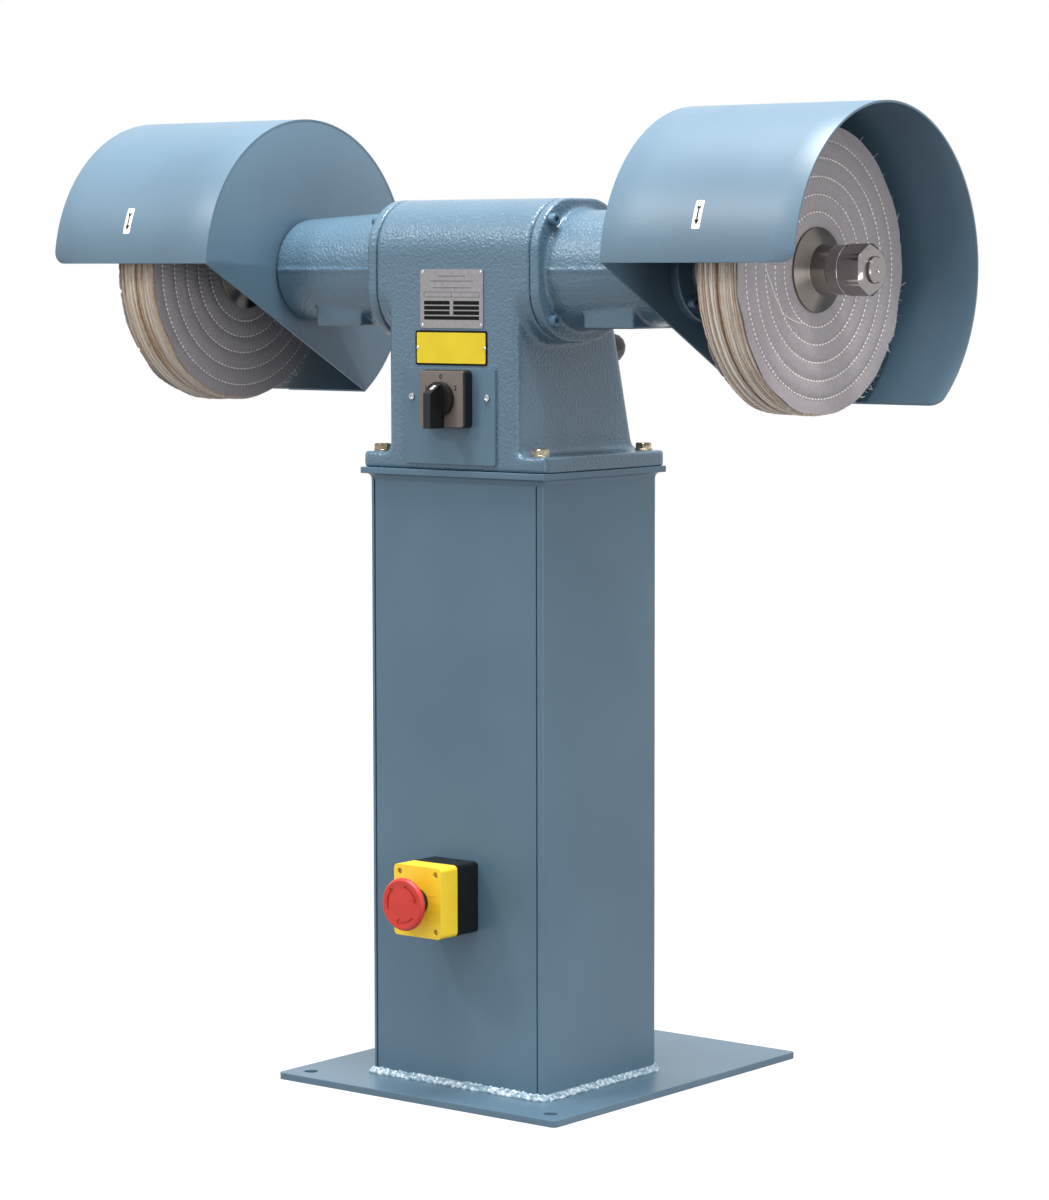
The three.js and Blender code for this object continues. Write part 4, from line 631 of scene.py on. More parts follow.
# %% [markdown]
# The rim shows the cut edges of many layers: cream, tan and a few brown ones, with shadow between
# them. Each layer of the mesh carries a number, its tint. The material turns that number into a
# colour, and adds short streaks along the edge.

# %% Cotton edge
TINTS = (
    ("#75645F", 0.0), ("#C0A184", 0.2), ("#E6D8C2", 0.42), ("#CDB8AC", 0.6), ("#EFE5D6", 0.78),
    ("#FAF3E8", 1.0))
STREAK_SIZE = 0.9
STREAK_STRETCH = (1, 0.12, 0.12)
STREAK_TINTS = (-0.22, 0.22)
FLECK_SIZE = 1.2
FLECK_DEPTH = 0.3


def cotton_edge():
    """Cut cloth edges: a colour for each layer, streaked and matt."""
    material, tree, shader = new_material("cut_cotton_edge", Roughness=0.95, Sheen_Weight=0.8)
    tint = add(tree, "ShaderNodeAttribute", attribute_name="tint").outputs["Fac"]
    stretched = object_place(tree, STREAK_STRETCH)
    streaks = noise(tree, stretched, STREAK_SIZE, detail=3, roughness=0.6)
    both = number_math(tree, "ADD", tint, ranged(tree, streaks, target=STREAK_TINTS))
    ramp = add(tree, "ShaderNodeValToRGB", {"Fac": both})
    points = ramp.color_ramp.elements
    while len(points) < len(TINTS):
        points.new(0.5)
    for point, (colour, position) in zip(points, TINTS):
        point.position = position
        point.color = linear(colour)
    tree.links.new(ramp.outputs["Color"], shader.inputs["Base Color"])
    flecks = noise(tree, object_place(tree), FLECK_SIZE, detail=3)
    tree.links.new(bump(tree, flecks, FLECK_DEPTH), shader.inputs["Normal"])
    return material


COTTON_EDGE = cotton_edge()
# Sewing thread and loose ends: the whitest cotton on the machine.
THREAD = moulded("cotton_thread", "#FFFEFB", "#FBF8F3", 0.85, 0.6, 0.1)
print("cotton edge and thread")

# %% [markdown]
# ## Stage and light
#
# The machine stands in an even white world. Its floor looks white to the camera and in
# reflections, but it is matt grey to all other light, so what faces down stays dark. Beside the
# machine the floor is a little less white, and there it shows the machine's shadow.

# %% Floor and world
FLOOR_SIZE = 16000
FLOOR_GLOW = (0.8, 1.0)
GLOW_REACH = (400, 2600)
FLOOR_SHADES = ("#79797B", "#3A3A3C")
SHADE_REACH = (350, 1200)
WORLD_STRENGTH = 1.0


def seen_or_mirrored(tree):
    """1 for what the camera sees, also in a mirror or through glass, and 0 for other light."""
    path = add(tree, "ShaderNodeLightPath").outputs
    seen = number_math(tree, "MAXIMUM", path["Is Camera Ray"], path["Is Glossy Ray"])
    return number_math(tree, "MAXIMUM", seen, path["Is Transmission Ray"])


def lay_floor():
    """A matt floor that looks white to the camera alone."""
    corners = [(x, y, 0) for x, y in rectangle(FLOOR_SIZE, FLOOR_SIZE)]
    floor = mesh_object("floor", corners, [[0, 1, 2, 3]], outward=False)
    material, tree, shader = new_material("pale_studio_floor", Roughness=0.9)
    shader.inputs["Emission Color"].default_value = (1, 1, 1, 1)
    distance = vector_math(tree, "LENGTH", object_place(tree), output="Value")
    white = ranged(tree, distance, [reach * MM for reach in GLOW_REACH], FLOOR_GLOW)
    away = ranged(tree, distance, [reach * MM for reach in SHADE_REACH])
    tree.links.new(blend_colours(tree, away, *FLOOR_SHADES, 0, 1), shader.inputs["Base Color"])
    glow = number_math(tree, "MULTIPLY", seen_or_mirrored(tree), white)
    tree.links.new(glow, shader.inputs["Emission Strength"])
    floor.data.materials.append(material)


def light_world():
    world = bpy.data.worlds.new("studio")
    world.use_nodes = True
    SCENE.world = world
    tree = world.node_tree
    background = tree.nodes["Background"]
    strength = ranged(tree, seen_or_mirrored(tree), target=(WORLD_STRENGTH, 1.0))
    tree.links.new(strength, background.inputs["Strength"])
    background.inputs["Color"].default_value = (1, 1, 1, 1)


lay_floor()
light_world()
print("floor and world ready")

# %% [markdown]
# Four lamps give the highlights. A workshop ceiling brightens all that faces up. One lamp stands
# at the front left and one hangs over the right. A weak one low on the right lifts the side of the
# pedestal.

# %% Lamps
AIM = (0, 0, 750)


def soft_box(name, place, size, watts):
    """A rectangular lamp in millimetres that faces the machine."""
    data = bpy.data.lights.new(name, "AREA")
    data.shape = "RECTANGLE"
    data.size, data.size_y = size[0] * MM, size[1] * MM
    data.energy = watts
    lamp = new_object(name, data)
    lamp.location = Vector(place) * MM
    lamp.rotation_euler = (Vector(AIM) - Vector(place)).to_track_quat("-Z", "Y").to_euler()


soft_box("ceiling", (0, -300, 3900), (1400, 1400), 165)
soft_box("front_left_lamp", (-1500, -2300, 2900), (450, 450), 28)
soft_box("right_lamp", (1700, -800, 3700), (450, 450), 32)
soft_box("low_right_lamp", (2400, -700, 500), (900, 900), 10)
SCENE.view_settings.view_transform = "Standard"
print("lamps:", [lamp.name for lamp in bpy.data.lights])

# %% [markdown]
# ## Pedestal
#
# The base and top plates are flame-cut plate and keep the model's shape with softened edges. The
# column is bent sheet, so its bends are drawn again with more steps, and its front panel sits
# between two joggled lips with a narrow dark groove on each side.

# %% Plates and column
BEND_RADIUS = 7
COLUMN_WALL = 4
PANEL_THICKNESS = 3
LIP_WIDTH = 20
BEND_STEPS = 10


def pedestal_column():
    low, high = box_mm("pedestal_column")
    x, y = high.x, high.y
    lip_x = x - BEND_RADIUS - LIP_WIDTH
    front = low.y + PANEL_THICKNESS
    in_x, in_y = x - COLUMN_WALL, y - COLUMN_WALL
    lip_y = front + COLUMN_WALL
    shoulder = x - BEND_RADIUS
    inner_bend = BEND_RADIUS - COLUMN_WALL
    corners = [
        (lip_x, front, 0), (shoulder, front, 0), (shoulder, low.y, 0), (x, low.y, BEND_RADIUS),
        (x, y, BEND_RADIUS), (-x, y, BEND_RADIUS), (-x, low.y, BEND_RADIUS), (-shoulder, low.y, 0),
        (-shoulder, front, 0), (-lip_x, front, 0), (-lip_x, lip_y, 0), (-in_x, lip_y, 0),
        (-in_x, in_y, inner_bend), (in_x, in_y, inner_bend), (in_x, lip_y, 0), (lip_x, lip_y, 0)]
    outline = softened([c[:2] for c in corners], [c[2] for c in corners], BEND_STEPS)
    column = prism("pedestal_column_bent", outline, low.z, high.z, along_z)
    return smooth_by_angle(column, EDGE_DEGREES)


wear(pedestal_column(), "machine", SHEET_ENAMEL, ["pedestal_column"])
for plate, edge in (("base_plate", 0.8), ("pedestal_top_plate", 1.2), ("pedestal_front_panel", 0.5),
                    ("switch_cover_plate", 0.6)):
    wear(dressed(plate, edge), "machine", SHEET_ENAMEL, [plate])
print("pedestal dressed")

# %% [markdown]
# ## Castings
#
# The housing and the arms are grey iron from a sand mould. Nothing on such a casting is sharp:
# faces meet in fillets, and the paint rounds them further. We build each one from overlapping
# plain solids, melt them together with a voxel remesh and smooth the result. That gives every
# inner corner its fillet and every edge its round, as sand does.

# %% Melt solids into one casting
def cast_skin(name, solids, voxel, rounds):
    skin = joined(name, solids)
    modifier(skin, "REMESH", mode="VOXEL", voxel_size=voxel * MM, use_smooth_shade=True)
    modifier(skin, "SMOOTH", factor=0.5, iterations=rounds)
    settle(skin).data.shade_smooth()
    return skin


def circle_offsets(radius, steps=4):
    """Pairs (sideways, along) down a quarter circle, for rounding an edge by stations."""
    angles = [math.pi / 2 * step / steps for step in range(steps + 1)]
    return [(radius * (1 - math.sin(angle)), radius * (1 - math.cos(angle))) for angle in angles]


# %% [markdown]
# The housing seen from the end is a rounded square barrel on a body whose rear slopes out towards
# its foot. Two outlines give both: one for the body, with its sloping rear face, and one for the
# barrel. Each can be drawn smaller by an inset, which is how the ends get their rounding.

# %% Outlines of body and barrel
BARREL_HALF = 79
BARREL_ROUND = 60
BODY_FOOT_Y = 106
FLANGE_TOP = 723
ROUND_STEPS = 12
HOUSING_LOW, HOUSING_HIGH = box_mm("motor_housing")
REAR_ROUND_CENTRE = (SPINDLE.y + BARREL_HALF - BARREL_ROUND, SPINDLE.z + BARREL_HALF - BARREL_ROUND)


def rear_slope():
    """The angle of the rear face: it touches the barrel's rear round and passes its foot point."""
    dy, dz = BODY_FOOT_Y - REAR_ROUND_CENTRE[0], FLANGE_TOP - REAR_ROUND_CENTRE[1]
    return math.atan2(dz, dy) + math.acos(BARREL_ROUND / math.hypot(dy, dz))


REAR_ANGLE = rear_slope()


def rear_y(z, inset=0):
    distance = BARREL_ROUND - inset
    normal_y, normal_z = math.cos(REAR_ANGLE), math.sin(REAR_ANGLE)
    return REAR_ROUND_CENTRE[0] + (distance - (z - REAR_ROUND_CENTRE[1]) * normal_z) / normal_y


def body_outline(inset):
    front, top, bottom = HOUSING_LOW.y + inset, HOUSING_HIGH.z - inset, HOUSING_LOW.z + 1
    rear_foot, rear_top = rear_y(bottom, inset), rear_y(top, inset)
    corners = [(front, bottom), (rear_foot, bottom), (rear_top, top), (front, top)]
    return softened(corners, [0, 0, BARREL_ROUND - inset, BARREL_ROUND - inset], ROUND_STEPS)


def barrel_outline(inset=0, drop=0):
    low_y, high_y = SPINDLE.y - BARREL_HALF + inset, SPINDLE.y + BARREL_HALF - inset
    low_z, high_z = SPINDLE.z - BARREL_HALF + inset - drop, SPINDLE.z + BARREL_HALF - inset
    corners = [(low_y, low_z), (high_y, low_z), (high_y, high_z), (low_y, high_z)]
    return softened(corners, BARREL_ROUND - inset, ROUND_STEPS)


print("rear face leans", round(90 - math.degrees(REAR_ANGLE) % 90, 1), "degrees")

# %% [markdown]
# The body is 17 mm narrower than the barrel on each side, so the barrel's ends stand out like a
# collar, with a fillet below them. The foot is a flange with its own fillet, where sand and paint
# gathered.

# %% Housing
BARREL_END = 110
BARREL_EDGE = 2
BODY_HALF = 93
BODY_EDGE = 8
FLANGE_EDGE = 3
FLANGE_CORNER = 8
FOOT_FILLET = 9
COLLAR_FILLET = 8
HOUSING_VOXEL = 2.4
HOUSING_ROUNDS = 7


def across_housing(name, half, edge, outline):
    """A solid from -half to half along the spindle, its ends rounded by edge."""
    right = [(inset, half - along) for inset, along in circle_offsets(edge)]
    stations = sorted(right + [(inset, -x) for inset, x in right], key=lambda pair: pair[1])
    return loft(name, [outline(inset) for inset, x in stations], [x for inset, x in stations], along_x)


def foot_flange():
    width, depth = 2 * HOUSING_HIGH.x, HOUSING_HIGH.y - HOUSING_LOW.y
    middle = (HOUSING_LOW.y + HOUSING_HIGH.y) / 2
    levels = [(0, HOUSING_LOW.z)]
    levels += [(inset, FLANGE_TOP - along) for inset, along in reversed(circle_offsets(FLANGE_EDGE))]
    plans = [
        softened(rectangle(width - 2 * inset, depth - 2 * inset, 0, middle), FLANGE_CORNER - inset, 6)
        for inset, z in levels]
    return loft("flange", plans, [z for inset, z in levels], along_z)


def foot_fillet():
    plans, heights = [], []
    for spread, rise in circle_offsets(FOOT_FILLET, 5):
        z = FLANGE_TOP + rise
        rear = rear_y(z) + spread
        corners = rectangle(2 * (BODY_HALF + spread), rear - HOUSING_LOW.y, 0, (rear + HOUSING_LOW.y) / 2)
        plans.append(softened(corners, [BODY_EDGE, BODY_EDGE, BODY_EDGE + spread, BODY_EDGE + spread], 6))
        heights.append(z)
    return loft("foot_fillet", plans[:1] + plans, [FLANGE_TOP - FLANGE_EDGE] + heights, along_z)


def collar_fillet(side):
    drops = circle_offsets(COLLAR_FILLET, 5)
    outlines = [barrel_outline(0, drop) for drop, along in drops]
    places = [side * (BODY_HALF + along) for drop, along in drops]
    start = side * (BODY_HALF - BODY_EDGE / 2)
    return loft("collar_fillet", outlines[:1] + outlines, [start, *places], along_x)


solids = [
    across_housing("body", BODY_HALF, BODY_EDGE, body_outline),
    across_housing("barrel", BARREL_END, BARREL_EDGE, barrel_outline),
    foot_flange(), foot_fillet(), *[collar_fillet(side) for side in SIDES.values()]]
housing = cast_skin("motor_housing_casting", solids, HOUSING_VOXEL, HOUSING_ROUNDS)
wear(housing, "machine", IRON_ENAMEL, ["motor_housing"])
print("housing faces:", len(housing.data.polygons))

# %% [markdown]
# Each arm is a slim cone with a square flange at its root, a flat pad below and two thin ridges
# where the halves of the sand mould met. The same steps make both, with X mirrored.

# %% Bearing arms
ARM_SEAM = 0.5
FLANGE_FACE = 123
FLANGE_ROUND = 2
ARM_ROOT = 67
ARM_ROOT_FILLET = 4
ARM_TIP = 58.5
ARM_TIP_X = box_mm("right_bearing_arm")[1].x
ARM_TIP_ROUND = 4
CORE_START = FLANGE_FACE - 6
CORE_RADIUS = 10
PAD_START, PAD_END = 160, 229
PAD_FRONT = 47
PAD_REAR = 35
PAD_DEPTH = 0.4
PAD_BEVEL = (4, 30)
RIDGE_WIDTH = 3
RIDGE_HEIGHT = 1.3
ARM_VOXEL = 1.7
ARM_ROUNDS = 5


def cone_radius(x):
    share = (x - FLANGE_FACE) / (ARM_TIP_X - FLANGE_FACE)
    return ARM_ROOT + (ARM_TIP - ARM_ROOT) * share


def arm_flange(side):
    edge = circle_offsets(FLANGE_ROUND)
    stations = [(inset, BARREL_END + ARM_SEAM + along) for inset, along in edge]
    stations += [(inset, FLANGE_FACE - along) for inset, along in reversed(edge)]
    outlines = [barrel_outline(inset) for inset, x in stations]
    return loft("flange", outlines, [side * x for inset, x in stations], along_x)


def arm_cone(side):
    root, tip = circle_offsets(ARM_ROOT_FILLET), reversed(circle_offsets(ARM_TIP_ROUND, 6))
    fillet = [(FLANGE_FACE + rise, ARM_ROOT + spread) for spread, rise in root]
    shoulder = [(ARM_TIP_X - along, ARM_TIP - inset) for inset, along in tip]
    start = [(CORE_START, CORE_RADIUS), (CORE_START, fillet[0][1])]
    profile = [*start, *fillet, *shoulder, (ARM_TIP_X, CORE_RADIUS)]
    return turned("cone", [(side * x, radius) for x, radius in profile], 128)


def arm_pad(side):
    low = SPINDLE.z - cone_radius((PAD_START + PAD_END) / 2) - PAD_DEPTH
    front, rear = SPINDLE.y - PAD_FRONT, SPINDLE.y + PAD_REAR
    bevel = [(front + PAD_BEVEL[0], SPINDLE.z), (front, SPINDLE.z - PAD_BEVEL[1])]
    corners = [(front, low), (rear, low), (rear, SPINDLE.z), *bevel]
    return prism("pad", corners, side * PAD_START, side * PAD_END, along_x)


def parting_ridge(side, facing):
    """A thin ridge along the cone. facing is 1 at the rear and -1 at the front."""
    ends = (FLANGE_FACE, ARM_TIP_X - ARM_TIP_ROUND)
    outlines = []
    for x in ends:
        middle = SPINDLE.y + facing * (cone_radius(x) - RIDGE_WIDTH / 2 + RIDGE_HEIGHT / 2)
        outlines.append(rectangle(RIDGE_WIDTH + RIDGE_HEIGHT, RIDGE_WIDTH, middle, SPINDLE.z))
    return loft("ridge", outlines, [side * x for x in ends], along_x)


for name, side in SIDES.items():
    node = f"{name}_bearing_arm"
    ridges = [parting_ridge(side, facing) for facing in (-1, 1)]
    solids = [arm_flange(side), arm_cone(side), arm_pad(side), *ridges]
    arm = cast_skin(f"{node}_casting", solids, ARM_VOXEL, ARM_ROUNDS)
    wear(arm, "machine", IRON_ENAMEL, [node])
    print(node, "faces:", len(arm.data.polygons))

# %% [markdown]
# ## Guards
#
# A guard is one sheet rolled round the mop, with a flat side plate welded in its inboard end. The
# rolled sheet is drawn as a grid of points, thickened and given soft edges. Its outboard corners
# are rounded so that nobody catches a sleeve on them, and its tail ends in two widths that differ
# by a sheet's thickness.

# %% Rolled shell and side plate
GUARD_OUTSIDE = 175
GUARD_SHEET = 2.5
GUARD_SIDE = 3
LIP_ANGLE = 177.4
TAIL_ANGLE = -55.5
LIP_CORNER = 15
TAIL_CORNER = 13
TAIL_STEP = 1.5
STEP_HALF = 0.2
SHEET_EDGE = 0.55
PLATE_RIM = GUARD_OUTSIDE - 0.8
PLATE_SEAM = 0.15
PLATE_BORE = 40
ROLL_STEPS = 110


def on_roll(radius, degrees, x):
    angle = math.radians(degrees)
    return (x, SPINDLE.y + radius * math.cos(angle), SPINDLE.z + radius * math.sin(angle))


def corner_cut(distance, radius):
    return 0 if distance >= radius else radius - math.sqrt(radius ** 2 - (radius - distance) ** 2)


def guard_shell(name, side, inner_x, outer_x):
    degree_length = math.radians(1) * GUARD_OUTSIDE
    near_tail = [TAIL_ANGLE + d / degree_length for d in (0, 0.3, 1, 2, 3.5, 5.5, 8, 10.5, 13)]
    near_lip = [LIP_ANGLE - d / degree_length for d in (15, 12, 9, 6, 4, 2.3, 1.2, 0.4, 0)]
    between = np.linspace(near_tail[-1], near_lip[0], ROLL_STEPS)[1:-1]
    rows = [*near_tail, *between, *near_lip]
    middle = (inner_x + outer_x) / 2
    inboard = np.linspace(inner_x, middle - STEP_HALF, 4)
    outboard = np.linspace(middle, outer_x, 5)
    columns = [*inboard, middle + STEP_HALF, *outboard[1:]]
    points = []
    for i, degrees in enumerate(rows):
        from_tail = (degrees - TAIL_ANGLE) * degree_length
        from_lip = (LIP_ANGLE - degrees) * degree_length
        limit = outer_x - corner_cut(from_tail, TAIL_CORNER) - corner_cut(from_lip, LIP_CORNER)
        for x in columns:
            at = x if x < middle else middle + (x - middle) * (limit - middle) / (outer_x - middle)
            drop = TAIL_STEP / degree_length if x < middle and i == 0 else 0
            points.append(on_roll(GUARD_OUTSIDE, degrees - drop, side * at))
    width = len(columns)
    faces = [
        [r * width + c, r * width + c + 1, (r + 1) * width + c + 1, (r + 1) * width + c]
        for r in range(len(rows) - 1) for c in range(width - 1)]
    if side > 0:
        faces = [face[::-1] for face in faces]
    shell = mesh_object(name, points, faces, outward=False)
    modifier(shell, "SOLIDIFY", thickness=GUARD_SHEET * MM, offset=-1)
    return round_edges(shell, SHEET_EDGE)


def guard_side_plate(name, side, inner_x):
    """A flat plate: a circle cut off by the chord from the lip to the tail, with a round hole."""
    outline = [
        Vector(on_roll(PLATE_RIM, degrees, 0)[1:]) for degrees in np.linspace(TAIL_ANGLE, LIP_ANGLE, 100)]
    tail, lip = outline[0], outline[-1]
    outline += [lip.lerp(tail, share) for share in np.linspace(0, 1, 26)[1:-1]]
    centre = Vector((SPINDLE.y, SPINDLE.z))
    hole = [centre + (point - centre).normalized() * PLATE_BORE for point in outline]
    count = len(outline)
    points = []
    for x in (inner_x + PLATE_SEAM, inner_x + GUARD_SIDE):
        points += [(side * x, *point) for point in outline] + [(side * x, *point) for point in hole]
    faces = []
    for i in range(count):
        j = (i + 1) % count
        faces.append([i, j, count + j, count + i])
        faces.append([2 * count + i, 3 * count + i, 3 * count + j, 2 * count + j])
        faces.append([i, 2 * count + i, 2 * count + j, j])
        faces.append([count + i, count + j, 3 * count + j, 3 * count + i])
    return round_edges(mesh_object(name, points, faces), SHEET_EDGE)


for name, side in SIDES.items():
    low, high = box_mm(f"{name}_guard")
    inner_x, outer_x = sorted((abs(low.x), abs(high.x)))
    shell = guard_shell(f"{name}_guard_shell", side, inner_x, outer_x)
    plate = guard_side_plate(f"{name}_guard_plate", side, inner_x)
    guard = smooth_by_angle(joined(f"{name}_guard_sheet", [shell, plate]))
    wear(guard, "machine", GUARD_ENAMEL, [f"{name}_guard"])
    print(f"{name} guard faces:", len(guard.data.polygons))

# %% [markdown]
# ## Geometry Nodes for what repeats
#
# Stitches, weld ripples and loose threads follow a path at a steady pitch. Screws and rivets sit
# at given points. So two small trees do all of it: one walks along a path, the other visits
# points. Both turn their instances into real geometry at the end and set one material.

# %% Two trees: along a path, and at points
def geometry_tree(name, sizes):
    tree = bpy.data.node_groups.new(name, "GeometryNodeTree")
    tree.interface.new_socket("Geometry", in_out="INPUT", socket_type="NodeSocketGeometry")
    for label, kind in sizes.items():
        tree.interface.new_socket(label, in_out="INPUT", socket_type=f"NodeSocket{kind}")
    tree.interface.new_socket("Geometry", in_out="OUTPUT", socket_type="NodeSocketGeometry")
    return tree, add(tree, "NodeGroupInput").outputs


def finish_tree(tree, entry, points, rotation, chance, size=(1, 1, 1)):
    """Sets the piece at each point, turned by its own chance, as real geometry in one material."""
    by_chance = {"Rotation": rotation, "Rotate By": chance}
    turned_by = add(tree, "FunctionNodeRotateRotation", by_chance, rotation_space="LOCAL").outputs[0]
    piece = add(tree, "GeometryNodeObjectInfo", {"Object": entry["Piece"]}).outputs["Geometry"]
    setting = {"Points": points, "Instance": piece, "Rotation": turned_by, "Scale": size}
    placed = add(tree, "GeometryNodeInstanceOnPoints", setting).outputs[0]
    real = add(tree, "GeometryNodeRealizeInstances", {"Geometry": placed}).outputs[0]
    painted = add(tree, "GeometryNodeSetMaterial", {"Geometry": real, "Material": entry["Material"]})
    add(tree, "NodeGroupOutput", {"Geometry": painted.outputs[0]})
    return tree


def run_tree(obj, tree, values):
    """Runs a tree on an object. Inputs are set by identifier, before the first evaluation."""
    nodes = obj.modifiers.new(tree.name, "NODES")
    nodes.node_group = tree
    for item in tree.interface.items_tree:
        if item.in_out == "INPUT" and item.name in values:
            nodes[item.identifier] = values[item.name]
    return settle(obj)


def random_range(tree, kind, low, high, seed, slots):
    node = add(tree, "FunctionNodeRandomValue", {slots[0]: low, slots[1]: high}, data_type=kind)
    node.inputs["Seed"].default_value = seed
    return node.outputs[slots[2]]


def path_tree():
    sizes = {
        "Pitch": "Float", "Piece": "Object", "Centre": "Vector", "Turn": "Vector",
        "Smallest": "Float", "Largest": "Float", "Material": "Material"}
    tree, entry = geometry_tree("pieces_along_a_path", sizes)
    curve = add(tree, "GeometryNodeMeshToCurve", {"Mesh": entry["Geometry"]}).outputs[0]
    pace = {"Curve": curve, "Length": entry["Pitch"]}
    steps = add(tree, "GeometryNodeResampleCurve", pace, mode="LENGTH").outputs[0]
    spaced = add(tree, "FunctionNodeCompare", {0: entry["Pitch"], 1: 0.0}, operation="GREATER_THAN")
    choice = {"Switch": spaced.outputs[0], "False": curve, "True": steps}
    points = add(tree, "GeometryNodeSwitch", choice).outputs[0]
    here = add(tree, "GeometryNodeInputPosition").outputs[0]
    spoke = vector_math(tree, "SUBTRACT", here, entry["Centre"])
    flat = vector_math(tree, "MULTIPLY", spoke, (0, 1, 1))
    up = add(tree, "FunctionNodeAlignRotationToVector", {"Vector": flat}, axis="Z").outputs[0]
    tangent = add(tree, "GeometryNodeInputTangent").outputs[0]
    facing = {"Rotation": up, "Vector": tangent}
    along = add(tree, "FunctionNodeAlignRotationToVector", facing, axis="X", pivot_axis="Z").outputs[0]
    opposite = vector_math(tree, "MULTIPLY", entry["Turn"], (-1, -1, -1))
    chance = random_range(tree, "FLOAT_VECTOR", opposite, entry["Turn"], 3, (0, 1, 0))
    size = random_range(tree, "FLOAT", entry["Smallest"], entry["Largest"], 8, (2, 3, 1))
    return finish_tree(tree, entry, points, along, chance, size)


def point_tree():
    sizes = {"Piece": "Object", "Turn": "Float", "Material": "Material"}
    tree, entry = geometry_tree("pieces_at_points", sizes)
    aim = add(tree, "GeometryNodeInputNamedAttribute", {"Name": "aim"}, data_type="FLOAT_VECTOR").outputs[0]
    up = add(tree, "FunctionNodeAlignRotationToVector", {"Vector": aim}, axis="Z").outputs[0]
    angle = random_range(tree, "FLOAT", 0.0, entry["Turn"], 5, (2, 3, 1))
    chance = add(tree, "ShaderNodeCombineXYZ", {"Z": angle}).outputs[0]
    return finish_tree(tree, entry, entry["Geometry"], up, chance)


ALONG_PATH = path_tree()
AT_POINTS = point_tree()


def along_path(
        name, loops, piece, pitch, material, turn, sizes=(1, 1), centre=SPINDLE, closed=True):
    """Repeats a piece along loops of points in millimetres, or at the points where pitch is 0."""
    points, edges = [], []
    for loop_points in loops:
        start, count = len(points), len(loop_points)
        points += list(loop_points)
        edges += [(start + i, start + (i + 1) % count) for i in range(count if closed else count - 1)]
    obj = new_object(name, plain_mesh(name, points, edges))
    values = {
        "Pitch": float(pitch * MM), "Piece": piece, "Centre": [value * MM for value in centre],
        "Turn": [math.radians(angle) for angle in turn], "Smallest": float(sizes[0]),
        "Largest": float(sizes[1]), "Material": material}
    return run_tree(obj, ALONG_PATH, values)


def at_points(name, places, piece, material, turn=360):
    """Puts a piece at each (place, aim) pair, its own Z along the aim."""
    mesh = plain_mesh(name, [place for place, aim in places])
    aims = mesh.attributes.new("aim", "FLOAT_VECTOR", "POINT")
    aims.data.foreach_set("vector", [float(value) for place, aim in places for value in aim])
    values = {"Piece": piece, "Turn": math.radians(turn), "Material": material}
    return run_tree(new_object(name, mesh), AT_POINTS, values)


print("trees:", [tree.name for tree in bpy.data.node_groups])

# %% [markdown]
# ## Mops
#
# A mop is a stack of cotton discs sewn together in rings. Cloth simulation would not know about
# the stitches that shape it, so the form is written as a rule. The cloth dips at each ring of
# stitches, puffs out between them like a pillow, is drawn in at every needle hole, and hangs loose
# beyond the last ring. All of it is a height over the disc, worked out with NumPy on a fine grid.

# %% Random lines round a circle
MOP_BORE = 26
MOP_RIM = 153.2
RIM_WAVE = 1.7
RIM_FUZZ = 0.35
FACE_TRIM = 0.5
NICK_START, NICK_DEPTH = 0.45, 4


def wander(angles, rng, lowest, highest, size):
    """A smooth random line round a circle, with waves between two counts a turn."""
    counts = np.arange(lowest, highest + 1)
    weights = rng.normal(size=len(counts)) * (lowest / counts) ** 0.7
    phases = rng.uniform(0, 2 * np.pi, len(counts))
    line = (weights[:, None] * np.cos(counts[:, None] * angles + phases[:, None])).sum(axis=0)
    return size * line / np.abs(line).max()


def rim_radius(angles, seed):
    """The frayed outline of a face."""
    rng = np.random.default_rng(seed)
    nicks = wander(angles, rng, 30, 90, 1)
    rim = MOP_RIM - FACE_TRIM + wander(angles, rng, 3, 16, RIM_WAVE) + wander(angles, rng, 60, 200, RIM_FUZZ)
    return rim - NICK_DEPTH * np.maximum(0, nicks - NICK_START)


print("mop radius:", MOP_RIM, "mm")

# %% [markdown]
# The pillow between two rings is a sine raised to a small power: steep beside the stitches, nearly
# flat on top. Every second needle hole ends a visible stitch, and there the cloth is pulled deepest.

# %% The height of stitched cloth
MOP_LEAN = 6.5
LEAN_START = 45
RING_RADII = (60.5, 79, 97.7, 117, 136)
BAND_PUFF = (0.9, 1.9, 2.6, 2.9, 3.0, 1.9)
PILLOW_POWER = 0.5
PUCKER = 0.9
PUCKER_REACH = 4.2
STITCH_PITCH = 5.7
FOLD = 2.4


def lean(radius):
    return MOP_LEAN * np.maximum(0, radius - LEAN_START) / (MOP_RIM - LEAN_START)


def stitch_count(radius):
    return np.round(2 * np.pi * radius / STITCH_PITCH).astype(int)


